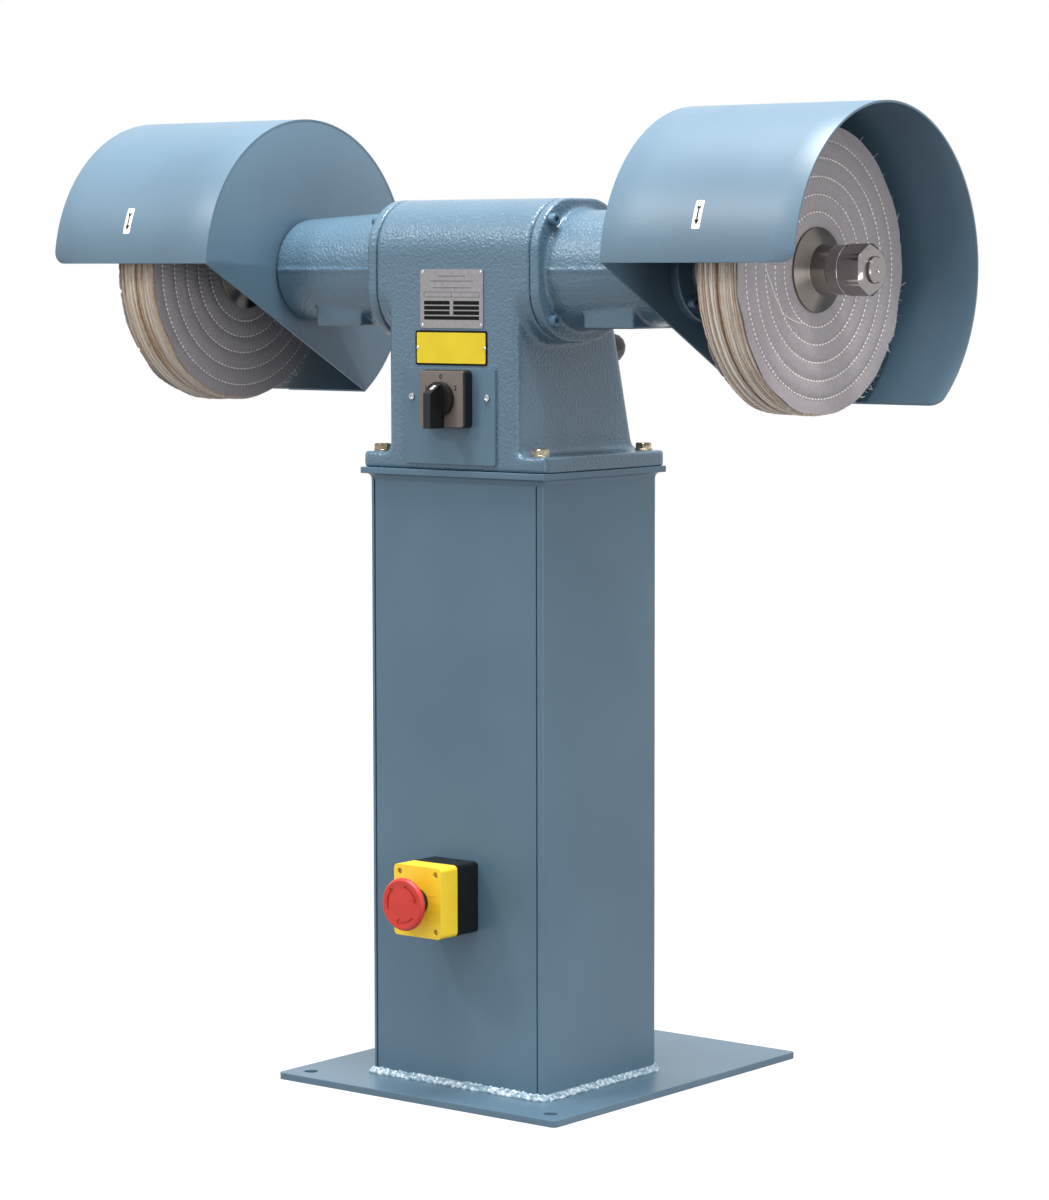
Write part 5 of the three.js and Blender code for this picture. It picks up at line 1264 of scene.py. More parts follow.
def cloth_height(radius, angles, seed):
    """How far the cloth stands out from its plane, for one radius or one for each angle."""
    rng = np.random.default_rng(seed)
    rings = np.array(RING_RADII)
    edges = np.concatenate(([LEAN_START - 2], rings, [MOP_RIM + 14]))
    radius = np.broadcast_to(radius, angles.shape)
    band = np.clip(np.searchsorted(edges, radius, side="right") - 1, 0, len(edges) - 2)
    share = np.clip((radius - edges[band]) / (edges[band + 1] - edges[band]), 0, 1)
    pillow = np.sin(np.pi * share) ** PILLOW_POWER
    height = pillow * np.array(BAND_PUFF)[band] * (1 + wander(angles, rng, 2, 14, 0.22))
    nearest = np.abs(radius[:, None] - rings).argmin(axis=1)
    gap = np.abs(radius - rings[nearest])
    drawn_in = 0.9 - 0.75 * np.cos(stitch_count(rings[nearest]) * angles)
    height = height - PUCKER * np.exp(-(gap / PUCKER_REACH) ** 2) * drawn_in
    wrinkles = wander(angles, rng, 40, 130, 0.26) * np.sin(np.pi * share)
    beyond = np.clip((radius - rings[-1]) / (MOP_RIM - rings[-1]), 0, 1)
    folds = wander(angles, rng, 5, 26, FOLD) * beyond ** 1.4
    return height + wrinkles + folds


print("stitches in each ring:", stitch_count(np.array(RING_RADII)))

# %% [markdown]
# Rings of points, one behind the other, become a skin of quads. `swept_bands` closes them both
# ways round, so each skin is a closed solid however thin it is.

# %% Rings of points to a skin
ANGLE_STEPS = 720
CLOTH_THICKNESS = 1.6
INNER_TRIM = 2.5


def swept_bands(loops, flip):
    """Closes loops of (loop, angle, xyz) points into one skin round the spindle."""
    loops = np.asarray(loops)
    count, steps = loops.shape[:2]
    index = np.arange(count * steps).reshape(count, steps)
    onward, beside = np.roll(index, -1, axis=1), np.roll(index, -1, axis=0)
    corner = np.roll(onward, -1, axis=0)
    faces = np.stack([index, onward, corner, beside], axis=-1).reshape(-1, 4)
    return loops.reshape(-1, 3), faces[:, ::-1] if flip else faces


def ring_points(x, radius, angles):
    radius = np.broadcast_to(radius, angles.shape)
    x = np.broadcast_to(x, angles.shape)
    return np.stack([x, SPINDLE.y + radius * np.cos(angles), SPINDLE.z + radius * np.sin(angles)], axis=-1)


def cloth_face(x, side, out, seed):
    """A cloth disc at distance x along the spindle. out is 1 outboard, -1 inboard."""
    angles = np.linspace(0, 2 * np.pi, ANGLE_STEPS, endpoint=False)
    rim = rim_radius(angles, seed + 50) - (INNER_TRIM if out < 0 else 0)
    fixed = np.linspace(MOP_BORE, RING_RADII[-1], 78)
    beyond = [RING_RADII[-1] + (rim - RING_RADII[-1]) * share for share in np.linspace(0, 1, 10)[1:]]
    loops = []
    for radius in [*fixed, *beyond]:
        at = x + lean(radius) + out * cloth_height(radius, angles, seed)
        loops.append(ring_points(side * at, radius, angles))
    for radius, depth in ((rim - 0.4, 0.5), (rim - 1, 1), (RING_RADII[-1], 1.3), (MOP_BORE, 1.3)):
        at = x + lean(radius) + out * (cloth_height(radius, angles, seed) - depth * CLOTH_THICKNESS)
        loops.append(ring_points(side * at, radius, angles))
    return swept_bands(loops, side * out > 0)


print("face grid:", ANGLE_STEPS, "steps round")

# %% [markdown]
# Behind the face lie the other layers. Their edges make the striped rim: some thick, some thin,
# each with its own tint, with a narrow gap where two sections meet. The layer beside that gap is
# tinted darker, a painted shade for the gap. The layers next to the face go from tan to cream, and
# stand out past it here and there.

# %% Layers of the rim
LAYERS = 13
LAYER_BORE = 112
LAYER_STEPS = 288
SHADOW_GAP = 0.4
SECTION_GAP = 1.0
FACE_LAYERS = 2


def cloth_layer(x, side, rng, thickness, wave):
    angles = np.linspace(0, 2 * np.pi, LAYER_STEPS, endpoint=False)
    rim = MOP_RIM + wander(angles, rng, 3, 18, 0.9)
    rim = rim + wander(angles, rng, 40, 120, 0.3) + rng.uniform(-1.0, 0.4)
    drift = wander(angles, rng, 4, 22, wave)
    half = thickness / 2
    shape = (
        (-half, LAYER_BORE), (-half, -1.3), (-half * 0.6, -0.2), (half * 0.6, 0), (half, -1.3),
        (half, LAYER_BORE))
    loops = []
    for across, reach in shape:
        at_bore = reach == LAYER_BORE
        radius = np.full_like(rim, reach) if at_bore else rim + reach
        at = x + lean(radius) + drift * (not at_bore) + across
        loops.append(ring_points(side * at, radius, angles))
    return swept_bands(loops, side > 0)


def layer_stack(low, high, side, face_out, rng):
    """Layers of chance thickness that fill a section, with set tints at its face, and a darker one at its
    gap as painted shade.
    """
    weights = rng.uniform(0.45, 1.6, LAYERS)
    ends = low + (high - low) * np.concatenate(([0], np.cumsum(weights))) / weights.sum()
    tints = rng.uniform(0.15, 1, LAYERS)
    by_face = range(LAYERS - FACE_LAYERS, LAYERS) if face_out > 0 else range(FACE_LAYERS)
    tints[list(by_face)] = (0.32, 0.5)
    # The layer at the gap between sections gets a darker tint: painted shade for that gap.
    tints[0 if face_out > 0 else -1] = 0.2
    layers = []
    for i in range(LAYERS):
        thickness = max(0.5, ends[i + 1] - ends[i] - SHADOW_GAP)
        wave = 0.75 if i in by_face else 0.4
        skin = cloth_layer((ends[i] + ends[i + 1]) / 2, side, rng, thickness, wave)
        layers.append((*skin, tints[i], 0))
    return layers


print("layers in a section:", LAYERS)

# %% [markdown]
# Each side has two sections, an inner one and an outer one. Only one face of each can be seen, so
# a section is that one face and a stack of layers behind it. Each section has a random seed of its
# own, so all four differ, and all four come out the same in every run.

# %% Mop sections
def cloth_object(name, skins):
    """One mesh from (points, faces, tint, material number) skins."""
    points = np.concatenate([skin[0] for skin in skins]) * MM
    starts = np.cumsum([0] + [len(skin[0]) for skin in skins[:-1]])
    faces = np.concatenate([skin[1] + start for skin, start in zip(skins, starts)])
    mesh = bpy.data.meshes.new(name)
    mesh.from_pydata(points.tolist(), [], faces.tolist())
    tints = np.concatenate([np.full(len(skin[0]), skin[2]) for skin in skins])
    mesh.attributes.new("tint", "FLOAT", "POINT").data.foreach_set("value", tints.astype(np.float32))
    mesh.materials.append(COTTON_EDGE)
    mesh.materials.append(COTTON)
    numbers = np.concatenate([np.full(len(skin[1]), skin[3]) for skin in skins])
    mesh.polygons.foreach_set("material_index", numbers.astype(np.int32))
    return smooth_by_angle(new_object(name, mesh), 60)


SECTIONS = {"inner": (381.3, -1), "outer": (408.0, 1)}
SECTION_WIDTH = 26.4
FACE_INSET = 0.9
MOP_SEEDS = {"left": 21, "right": 4}


def section_values(name, section):
    """The place of a section's visible face, the way it looks and its random seed."""
    low, face_out = SECTIONS[section]
    face_x = low + FACE_INSET if face_out < 0 else low + SECTION_WIDTH - FACE_INSET
    return face_x, face_out, MOP_SEEDS[name] + (0 if section == "outer" else 9)


for name, side in SIDES.items():
    for section in SECTIONS:
        face_x, face_out, seed = section_values(name, section)
        behind_face = CLOTH_THICKNESS + FACE_INSET
        inset = (behind_face, SECTION_GAP) if face_out < 0 else (SECTION_GAP, behind_face)
        low = SECTIONS[section][0] + inset[0]
        high = SECTIONS[section][0] + SECTION_WIDTH - inset[1]
        skins = [(*cloth_face(face_x, side, face_out, seed), 0.5, 1)]
        skins += layer_stack(low, high, side, face_out, np.random.default_rng(seed))
        mop = cloth_object(f"{name}_{section}_mop_cloth", skins)
        wear(mop, "spindle", None, [f"{name}_{section}_mop"])
        print(mop.name, "faces:", len(mop.data.polygons))

# %% [markdown]
# The stitches are short thick threads that lie in the dips. One stitch is a small turned dash, and
# the path tree lays it at every point of a ring, so that it meets the needle holes of the cloth.

# %% Stitches
DASH = 3.9
THREAD_RADIUS = 0.9
THREAD_LIFT = 0.65
STITCH_TURN = (4, 3, 4)
STITCH_SIZES = (0.85, 1.1)


def dash_piece():
    half = DASH / 2
    profile = [(-half, 0), (-half * 0.84, THREAD_RADIUS * 0.75), (-half * 0.4, THREAD_RADIUS),
               (half * 0.4, THREAD_RADIUS), (half * 0.84, THREAD_RADIUS * 0.75), (half, 0)]
    return turned("dash", profile, 6, Vector((0, 0, 0)))


dash = dash_piece()
for name, side in SIDES.items():
    for section in SECTIONS:
        face_x, face_out, seed = section_values(name, section)
        rings = []
        for radius in RING_RADII:
            angles = np.linspace(0, 2 * np.pi, stitch_count(radius), endpoint=False)
            top = cloth_height(radius, angles, seed) + THREAD_RADIUS * THREAD_LIFT
            x = face_x + lean(radius) + face_out * top
            rings.append(ring_points(side * x, radius, angles))
        stitches = along_path(
            f"{name}_{section}_stitches", rings, dash, 0, THREAD, STITCH_TURN, STITCH_SIZES)
        wear(stitches, "spindle", None)
        print(stitches.name, sum(len(ring) for ring in rings))
drop(dash)

# %% [markdown]
# Cut cloth frays. Short curled threads stand out of the rims, most of them where the hand that
# trimmed the mop was less careful, and one long thread lies loose across the right mop's face.

# %% Frayed rims and one loose thread
LOOSE_RADIUS = 0.2
SPARSE, DENSE = 27, 6.5
FRAYED_ARC = (-68, -4)
FRINGE_TURN = (55, 55, 180)
FRINGE_SIZES = (0.25, 1.15)


def thread_tube(name, points, radius, sides=4):
    """A round thread through points, closed at both ends."""
    line = [Vector(point) for point in points]
    corners, faces = [], []
    for i, here in enumerate(line):
        along = (line[min(i + 1, len(line) - 1)] - line[max(i - 1, 0)]).normalized()
        across = along.orthogonal().normalized()
        if i:
            across = (before - along * before.dot(along)).normalized()
        before = across
        other = along.cross(across)
        for step in range(sides):
            angle = 2 * math.pi * step / sides
            corners.append(here + radius * (across * math.cos(angle) + other * math.sin(angle)))
    for ring in range(len(line) - 1):
        for step in range(sides):
            start, after = ring * sides + step, ring * sides + (step + 1) % sides
            faces.append([start, after, after + sides, start + sides])
    faces += [list(range(sides)), [len(corners) - sides + step for step in range(sides)]]
    return mesh_object(name, corners, faces)


curl = [(0, 0, -1), (0.5, 0.2, 1.2), (1.4, 0.1, 3), (2.9, -0.4, 4.4), (4.8, -0.6, 5)]
fringe = thread_tube("fringe", curl, LOOSE_RADIUS)
for name, side in SIDES.items():
    for section in SECTIONS:
        face_x, face_out, seed = section_values(name, section)
        for part, pitch, arc in (("sparse", SPARSE, (0, 359)), ("dense", DENSE, FRAYED_ARC)):
            angles = np.radians(np.linspace(*arc, 240))
            rim = rim_radius(angles, seed + 50)
            x = face_x + lean(rim) + face_out * (cloth_height(rim, angles, seed) - 0.6)
            path = ring_points(side * x, rim - 1.2, angles)
            threads = along_path(
                f"{name}_{section}_{part}_fringe", [path], fringe, pitch, THREAD, FRINGE_TURN,
                FRINGE_SIZES, closed=False)
            wear(threads, "spindle", None)
drop(fringe)

LOOSE_PATH = ((98, 178), (90, 190), (83, 203), (80, 212), (72, 226), (62, 243), (60, 252))
face_x, face_out, seed = section_values("right", "outer")
spots = []
for start, end in zip(LOOSE_PATH, LOOSE_PATH[1:]):
    spots += [np.array(start) + (np.array(end) - start) * share for share in (0, 0.25, 0.5, 0.75)]
places = []
for radius, degrees in spots + [np.array(LOOSE_PATH[-1])]:
    angle = np.radians(np.array([degrees - 2, degrees, degrees + 2]))
    top = cloth_height(radius, angle, seed).max()
    places.append(ring_points(face_x + lean(radius) + max(top, 0.9) + LOOSE_RADIUS, radius, angle[1:2])[0])
loose = thread_tube("right_loose_thread", places, LOOSE_RADIUS * 2.3, 6)
wear(loose, "spindle", THREAD)
print("loose thread through", len(places), "places")

# %% [markdown]
# ## Spindle ends
#
# All of this is turned bar: flange, boss, collar, nut and shaft. The profile of each part is a
# list of corners, softened a little, since a lathe hand always breaks an edge with a file. The
# nut has six flats milled in its round body, so its outline is a circle cut by a hexagon.

# %% Turned parts
BROKEN_EDGE = 0.5
LATHE_STEPS = 128


def lathe_work(name, side, corners, edges=BROKEN_EDGE):
    """Turns a profile about the spindle, with its corners broken."""
    profile = softened(corners, edges, 3)
    return turned(name, [(side * point.x, point.y) for point in profile], LATHE_STEPS)


def ring_outline(radius, flats=None, count=24):
    """A circle, or one cut to a hexagon of this width across its flats."""
    outline = []
    for i in range(count):
        angle = 2 * math.pi * i / count
        from_flat = (angle + math.pi / 6) % (math.pi / 3) - math.pi / 6
        reach = radius if flats is None else min(radius, flats / 2 / math.cos(from_flat))
        outline.append((reach * math.cos(angle), reach * math.sin(angle)))
    return outline


NUT_START, NUT_END = 462, 507
COLLAR_END, GROOVE_END = NUT_START + 15, NUT_START + 16
NUT_RADIUS, NUT_FLATS, UNCUT = 27.5, 50.5, 90
NUT_SHAPE = [
    (NUT_START, 26, UNCUT), (NUT_START + 0.5, 26.5, UNCUT),
    (COLLAR_END - 0.5, 26.5, UNCUT), (COLLAR_END, 26, UNCUT),
    (COLLAR_END + 0.1, 25.2, UNCUT), (GROOVE_END, 25.2, UNCUT),
    (GROOVE_END + 0.1, NUT_RADIUS - 0.8, NUT_FLATS), (GROOVE_END + 0.9, NUT_RADIUS, NUT_FLATS),
    (NUT_END - 4.2, NUT_RADIUS, NUT_FLATS), (NUT_END - 3.8, NUT_RADIUS - 0.25, NUT_FLATS),
    (NUT_END - 0.3, 22.6, NUT_FLATS), (NUT_END, 22, NUT_FLATS),
    (NUT_END, 14.6, UNCUT), (NUT_END - 2, 14.4, UNCUT)]


def spindle_nut(name, side):
    outlines = []
    for x, radius, flats in NUT_SHAPE:
        ring = ring_outline(radius, flats, 144)
        outlines.append([(SPINDLE.y + y, SPINDLE.z + z) for y, z in ring])
    places = [side * x for x, radius, flats in NUT_SHAPE]
    return smooth_by_angle(loft(name, outlines, places, along_x), 24)


OUTER_FLANGE = [
    (434.75, 14.4), (434.75, 45), (436.8, 45), (442.7, 26.6), (443.4, 26), (461.5, 26), (461.5, 14.4)]
OUTER_FLANGE_EDGES = [0, 0.4, 0.5, 1.2, 0.8, 0.5, 0]
INNER_FLANGE = [(327.4, 15.4), (327.4, 24), (373, 24), (379, 45), (381, 45), (381, 15.4)]
INNER_FLANGE_EDGES = [0, 0.8, 1.5, 0.5, 0.4, 0]
SHAFT_HALF = [
    (257, 20), (257, 17.5), (327.1, 17.5), (327.1, 15), (434.5, 15), (434.5, 14), (509.6, 14),
    (511, 12.6), (511, 3.2), (506.4, 0.01)]

for name, side in SIDES.items():
    flange = lathe_work(f"{name}_outer_flange_turned", side, OUTER_FLANGE, OUTER_FLANGE_EDGES)
    wear(flange, "spindle", FLANGE_STEEL, [f"{name}_outer_mop_flange"])
    inner = lathe_work(f"{name}_inner_flange_turned", side, INNER_FLANGE, INNER_FLANGE_EDGES)
    wear(inner, "spindle", FLANGE_STEEL, [f"{name}_inner_mop_flange"])
    nut = spindle_nut(f"{name}_spindle_nut_turned", side)
    wear(nut, "spindle", TURNED_STEEL, [f"{name}_spindle_nut"])
shaft_profile = [(-x, radius) for x, radius in reversed(SHAFT_HALF)] + SHAFT_HALF
shaft = turned("spindle_shaft_turned", shaft_profile, 96)
wear(shaft, "spindle", TURNED_STEEL, ["spindle_shaft"])
print("spindle ends turned")

# %% [markdown]
# ## Fasteners
#
# One screw of each kind is modelled at the origin and the point tree sets it wherever the model
# has one, with its own chance turn, since nobody lines up the sockets. The screws of the arms and
# caps were painted with the castings. Those on the plates are bright, and the foot bolts yellow.

# %% One of each fastener
ALL_FLAT = 99


def stacked(name, shape):
    """A solid from levels of (height, radius, width across flats)."""
    outlines = [ring_outline(radius, flats) for z, radius, flats in shape]
    return loft(name, outlines, [z for z, radius, flats in shape], along_z)


def socket_screw(name, radius, height, socket, depth, edge=0.7):
    return stacked(name, [
        (0, radius, None), (height - edge, radius, None),
        (height - edge * 0.3, radius - edge * 0.3, None), (height, radius - edge, None),
        (height, ALL_FLAT, socket + 0.5), (height - 0.3, ALL_FLAT, socket),
        (height - depth, ALL_FLAT, socket)])


def hexagon_bolt(name, washer, washer_height, flats, height):
    top = washer_height + height
    return stacked(name, [
        (0, washer, None), (washer_height - 0.4, washer, None), (washer_height, washer - 0.4, None),
        (washer_height, ALL_FLAT, flats), (washer_height + 0.2, ALL_FLAT, flats),
        (top - 0.9, ALL_FLAT, flats), (top, flats / 2 - 0.2, None), (top - 0.5, flats / 2 - 1.6, None)])


def dome(name, radius, height):
    shape = [(0, radius, None)]
    for angle in [math.pi / 2 * i / 5 for i in range(6)]:
        rise = 0.15 + (height - 0.15) * math.sin(angle)
        shape.append((rise, max(radius * math.cos(angle), 0.1), None))
    return stacked(name, shape)


cap_screw = socket_screw("cap_screw", radius=6.5, height=8, socket=6, depth=4)
cover_screw = socket_screw("cover_screw", radius=3.8, height=2.2, socket=2.5, depth=1.3, edge=0.9)
well_screw = socket_screw("well_screw", radius=2.9, height=1.8, socket=2, depth=1.1, edge=0.5)
foot_bolt = hexagon_bolt("foot_bolt", washer=10, washer_height=2, flats=17, height=6.4)
rivet = dome("rivet", radius=1.9, height=0.9)


def centre_of(node):
    low, high = box_mm(node)
    return (low + high) / 2


def screw_circle(x, side, circle):
    """Places on a circle about the spindle at its four diagonals, facing outboard."""
    angles = [math.radians(45 + 90 * i) for i in range(4)]
    return [
        ((side * x, SPINDLE.y + circle * math.cos(a), SPINDLE.z + circle * math.sin(a)), (side, 0, 0))
        for a in angles]


ARM_SCREW_CIRCLE = 78
CAP_SCREW_CIRCLE = 48
CAP_FACE = 296
arm_screws = []
for side in SIDES.values():
    arm_screws += screw_circle(FLANGE_FACE, side, ARM_SCREW_CIRCLE)
corners = [f"{height}_{end}" for height in ("upper", "lower") for end in ("rear", "front")]
screw_nodes = [f"{name}_arm_screw_{corner}" for name in SIDES for corner in corners]
screws = at_points("arm_screws", arm_screws, cap_screw, SCREW_ENAMEL)
wear(screws, "machine", None, screw_nodes)

bolt_nodes = [f"foot_bolt_{name}_{end}" for name in SIDES for end in ("front", "rear")]
bolt_places = []
for node in bolt_nodes:
    middle = centre_of(node)
    bolt_places.append(((middle.x, middle.y, FLANGE_TOP), (0, 0, 1)))
bolts = at_points("foot_bolts", bolt_places, foot_bolt, ZINC)
wear(bolts, "machine", None, bolt_nodes)

PLATE_FRONT = (0, -1, 0)
cover_nodes = ["cover_screw_left", "cover_screw_right"]
cover_front = box_mm("switch_cover_plate")[0].y
cover_places = [((centre_of(node).x, cover_front, centre_of(node).z), PLATE_FRONT) for node in cover_nodes]
screws = at_points("cover_screws", cover_places, cover_screw, BRIGHT_ZINC)
wear(screws, "machine", None, cover_nodes)

BEARING_CAP = [
    (274.6, 30.4), (274.6, 35.7), (284, 35.7), (284, 57), (CAP_FACE, 57), (CAP_FACE, 31), (307, 31),
    (307, 19), (284, 19), (284, 30.4)]
BEARING_CAP_EDGES = [0, 0, 0, 1, 1.5, 2, 1.5, 1, 0, 0]
for name, side in SIDES.items():
    cap = lathe_work(f"{name}_bearing_cap_turned", side, BEARING_CAP, BEARING_CAP_EDGES)
    cap.data.materials.append(IRON_ENAMEL)
    places = screw_circle(CAP_FACE, side, CAP_SCREW_CIRCLE)
    screws = at_points(f"{name}_cap_screws", places, cap_screw, IRON_ENAMEL)
    whole = smooth_by_angle(joined(f"{name}_bearing_cap_whole", [cap, screws]))
    wear(whole, "machine", IRON_ENAMEL, [f"{name}_bearing_cap"])
print("fasteners:", len(arm_screws), "arm screws,", len(bolt_places), "foot bolts")

# %% [markdown]
# ## Plates on the front
#
# The rating plate is thin anodised aluminium with printed bars, held by four rivets. The yellow
# plate below it is edged in black and has two rivets. Their prints are thin raised skins, a tenth
# of a millimetre high, so that they are never level with the sheet below.

# %% Rating plate and yellow plate
PRINT_HEIGHT = 0.12
LINE_WIDTH = 0.35
RATING_SHEET = 1
NOTICE_SHEET = 0.8
TEXT_BARS = [(37, 4.2, x, -4.5 - 5.6 * row) for row in range(3) for x in (-21, 21)] + [(79, 4, 0, -21.3)]
BOX_WIDTH, BOX_HEIGHT, BOX_Z = 79, 5.4, 4.6
BOX_LINES = [(BOX_WIDTH, LINE_WIDTH, 0, BOX_Z + end * BOX_HEIGHT / 2) for end in (1, -1)]
BOX_LINES += [(LINE_WIDTH, BOX_HEIGHT, end * BOX_WIDTH / 2, BOX_Z) for end in (-1, 1, 0)]
RULES = [(40, 0.5, 0, 25), (62, 0.5, 0, 19.5), (54, 0.5, 0, 12)]
RATING_RIVETS = (41.8, 29.3)
NOTICE_RIVETS = 48.1
BORDER = 2.2


def front_slab(name, outline, back, thickness, material):
    """A flat slab that faces the front, from an outline of (x, z) points."""
    slab = prism(name, outline, back - thickness, back, along_y)
    slab.data.materials.append(material)
    return slab


def plate_sheet(node, thickness, corner, material):
    """The plate's own flat sheet, without the rivets that the model fuses to it."""
    low, high = box_mm(node)
    middle = (low + high) / 2
    outline = softened(rectangle(high.x - low.x, high.z - low.z, middle.x, middle.z), corner)
    return front_slab(f"{node}_sheet", outline, HOUSING_LOW.y, thickness, material)


rating_sheet = plate_sheet("rating_plate", RATING_SHEET, 2.5, ANODISED)
wear(rating_sheet, "machine", None, ["rating_plate"])
plate_middle = centre_of("rating_plate")
plate_top = HOUSING_LOW.y - RATING_SHEET
prints = []
for width, height, x, z in TEXT_BARS + BOX_LINES + RULES:
    bar = rectangle(width, height, plate_middle.x + x, plate_middle.z + z)
    prints.append(front_slab("bar", bar, plate_top, PRINT_HEIGHT, BLACK_PRINT))
wear(joined("rating_plate_bars", prints), "machine", BLACK_PRINT)

notice_sheet = plate_sheet("notice_plate", NOTICE_SHEET, 3, BLACK_PRINT)
wear(notice_sheet, "machine", None, ["notice_plate"])
notice_middle = centre_of("notice_plate")
low, high = box_mm("notice_plate")
field_size = (high.x - low.x - 2 * BORDER, high.z - low.z - 2 * BORDER)
field_outline = softened(rectangle(*field_size, notice_middle.x, notice_middle.z), 1.5)
field_back = HOUSING_LOW.y - NOTICE_SHEET + 0.05
yellow_field = front_slab("notice_plate_field", field_outline, field_back, 0.2, YELLOW_PRINT)
wear(yellow_field, "machine", None)

rivets = []
for x in (-RATING_RIVETS[0], RATING_RIVETS[0]):
    for z in (-RATING_RIVETS[1], RATING_RIVETS[1]):
        rivets.append(((plate_middle.x + x, plate_top, plate_middle.z + z), PLATE_FRONT))
for x in (-NOTICE_RIVETS, NOTICE_RIVETS):
    rivets.append(((notice_middle.x + x, plate_top + 0.1, notice_middle.z), PLATE_FRONT))
plate_rivets = at_points("plate_rivets", rivets, rivet, BRIGHT_ZINC)
wear(plate_rivets, "machine", None)
print("plates:", len(prints), "printed bars,", len(rivets), "rivets")

# %% [markdown]
# ## Rotary switch
#
# The switch has a black base, a face of metallised plastic with plain numbers, and a bar knob
# with a white mark on its slanted end. Numbers are text turned into mesh.

# %% Switch
SWITCH_MIDDLE = centre_of("switch_face_plate")
FACE_FRONT = box_mm("switch_face_plate")[0].y
NUMBER_HEIGHT = 7.6
NUMBER_WEIGHT = 0.14
NUMBER_CIRCLE = 24.4
MARK_SIZE = (3.4, 8)
MARK_SLOPE = math.atan2(10, 18)
MARK_BACK, MARK_UP = 10.8, 13


def printed_number(word, x, z, back):
    curve = bpy.data.curves.new("number", "FONT")
    curve.body, curve.size = word, NUMBER_HEIGHT * MM
    curve.extrude = PRINT_HEIGHT * MM / 2
    curve.offset = NUMBER_WEIGHT * MM
    curve.align_x, curve.align_y = "CENTER", "CENTER"
    text = new_object("number", curve)
    graph = bpy.context.evaluated_depsgraph_get()
    mesh = bpy.data.meshes.new_from_object(text.evaluated_get(graph))
    drop(text)
    mesh.transform(Matrix.Translation(Vector((x, back, z)) * MM) @ Matrix.Rotation(math.pi / 2, 4, "X"))
    mesh.materials.clear()
    mesh.materials.append(BLACK_PRINT)
    obj = new_object("number", mesh)
    close_poles(obj)
    return obj


wear(dressed("switch_base", edge=1.2, steps=3), "machine", BLACK_PLASTIC, ["switch_base"])
wear(dressed("switch_face_plate", edge=0.5), "machine", SWITCH_FACE, ["switch_face_plate"])
numbers = []
for word, degrees in (("0", 0), ("1", -60), ("2", 60)):
    angle = math.radians(degrees)
    x = SWITCH_MIDDLE.x + NUMBER_CIRCLE * math.sin(angle)
    z = SWITCH_MIDDLE.z + NUMBER_CIRCLE * math.cos(angle)
    numbers.append(printed_number(word, x, z, FACE_FRONT - PRINT_HEIGHT / 3))
wear(joined("switch_numbers", numbers), "machine", BLACK_PRINT)

knob = dressed("switch_knob", edge=1.1, steps=3)
wear(knob, "switch_knob", BLACK_PLASTIC, ["switch_knob"])
knob_front = box_mm("switch_knob")[0].y
mark = prism("knob_mark", softened(rectangle(*MARK_SIZE), 0.8), -0.1, 0.25, along_z)
mark_place = Vector((SWITCH_MIDDLE.x, knob_front + MARK_BACK, SWITCH_MIDDLE.z + MARK_UP))
mark.data.transform(Matrix.Translation(mark_place * MM) @ Matrix.Rotation(MARK_SLOPE, 4, "X"))
wear(mark, "switch_knob", WHITE_PRINT)
print("switch made, knob front at", round(knob_front, 1))

# %% [markdown]
# ## Emergency stop
#
# A yellow cover on a black box, with a red mushroom head. The head carries three curved arrows
# that show which way to turn it to release it. They are cut into it with a Boolean modifier.

# %% Emergency stop
STOP_MIDDLE = centre_of("stop_button")
COVER_FRONT = box_mm("stop_box_cover")[0].y
WELL_INSET = 8
WELL_DEPTH = 5
TWIST_STARTS = (80, -40, -160)
TWIST_SWEEP, TWIST_TIP = 62, 13
TWIST_RADIUS, TWIST_WIDTH, TWIST_BARB = 20.5, 2.8, 4.48
TWIST_DEPTH = 1.1
DISH = 0.9
COVER_LINES = [
    (13, 20.5, -8.5), (13, 20.5, 8.5), (13, -20.5, -8.5), (13, -20.5, 8.5), (18, 0, -23), (18, 0, -33)]
COVER_LINE_WIDTH, COVER_LINE_HEIGHT = 0.6, 0.25


def turned_forward(name, corners, edges, steps=96):
    """Turns a profile of (forward, radius) points about the stop button's axis."""
    profile = softened(corners, edges, 4)
    axis = Vector((STOP_MIDDLE.x, 0, STOP_MIDDLE.z))
    return turned(name, [(-p.x, p.y) for p in profile], steps, axis, along_y)


def around_stop(radius, degrees):
    angle = math.radians(degrees)
    return (STOP_MIDDLE.x + radius * math.cos(angle), STOP_MIDDLE.z + radius * math.sin(angle))


def twist_arrow(start, front):
    """A flat curved arrow, as a cutter that reaches behind the front."""
    inner, outer = TWIST_RADIUS - TWIST_WIDTH / 2, TWIST_RADIUS + TWIST_WIDTH / 2
    end = start - TWIST_SWEEP
    outline = [around_stop(outer, start - TWIST_SWEEP * share) for share in np.linspace(0, 1, 13)]
    outline.append(around_stop(TWIST_RADIUS + TWIST_BARB, end))
    outline.append(around_stop(TWIST_RADIUS, end - TWIST_TIP))
    outline.append(around_stop(TWIST_RADIUS - TWIST_BARB, end))
    outline += [around_stop(inner, start - TWIST_SWEEP * share) for share in np.linspace(1, 0, 13)]
    return prism("arrow_cutter", outline, front - 2, front + TWIST_DEPTH, along_y)


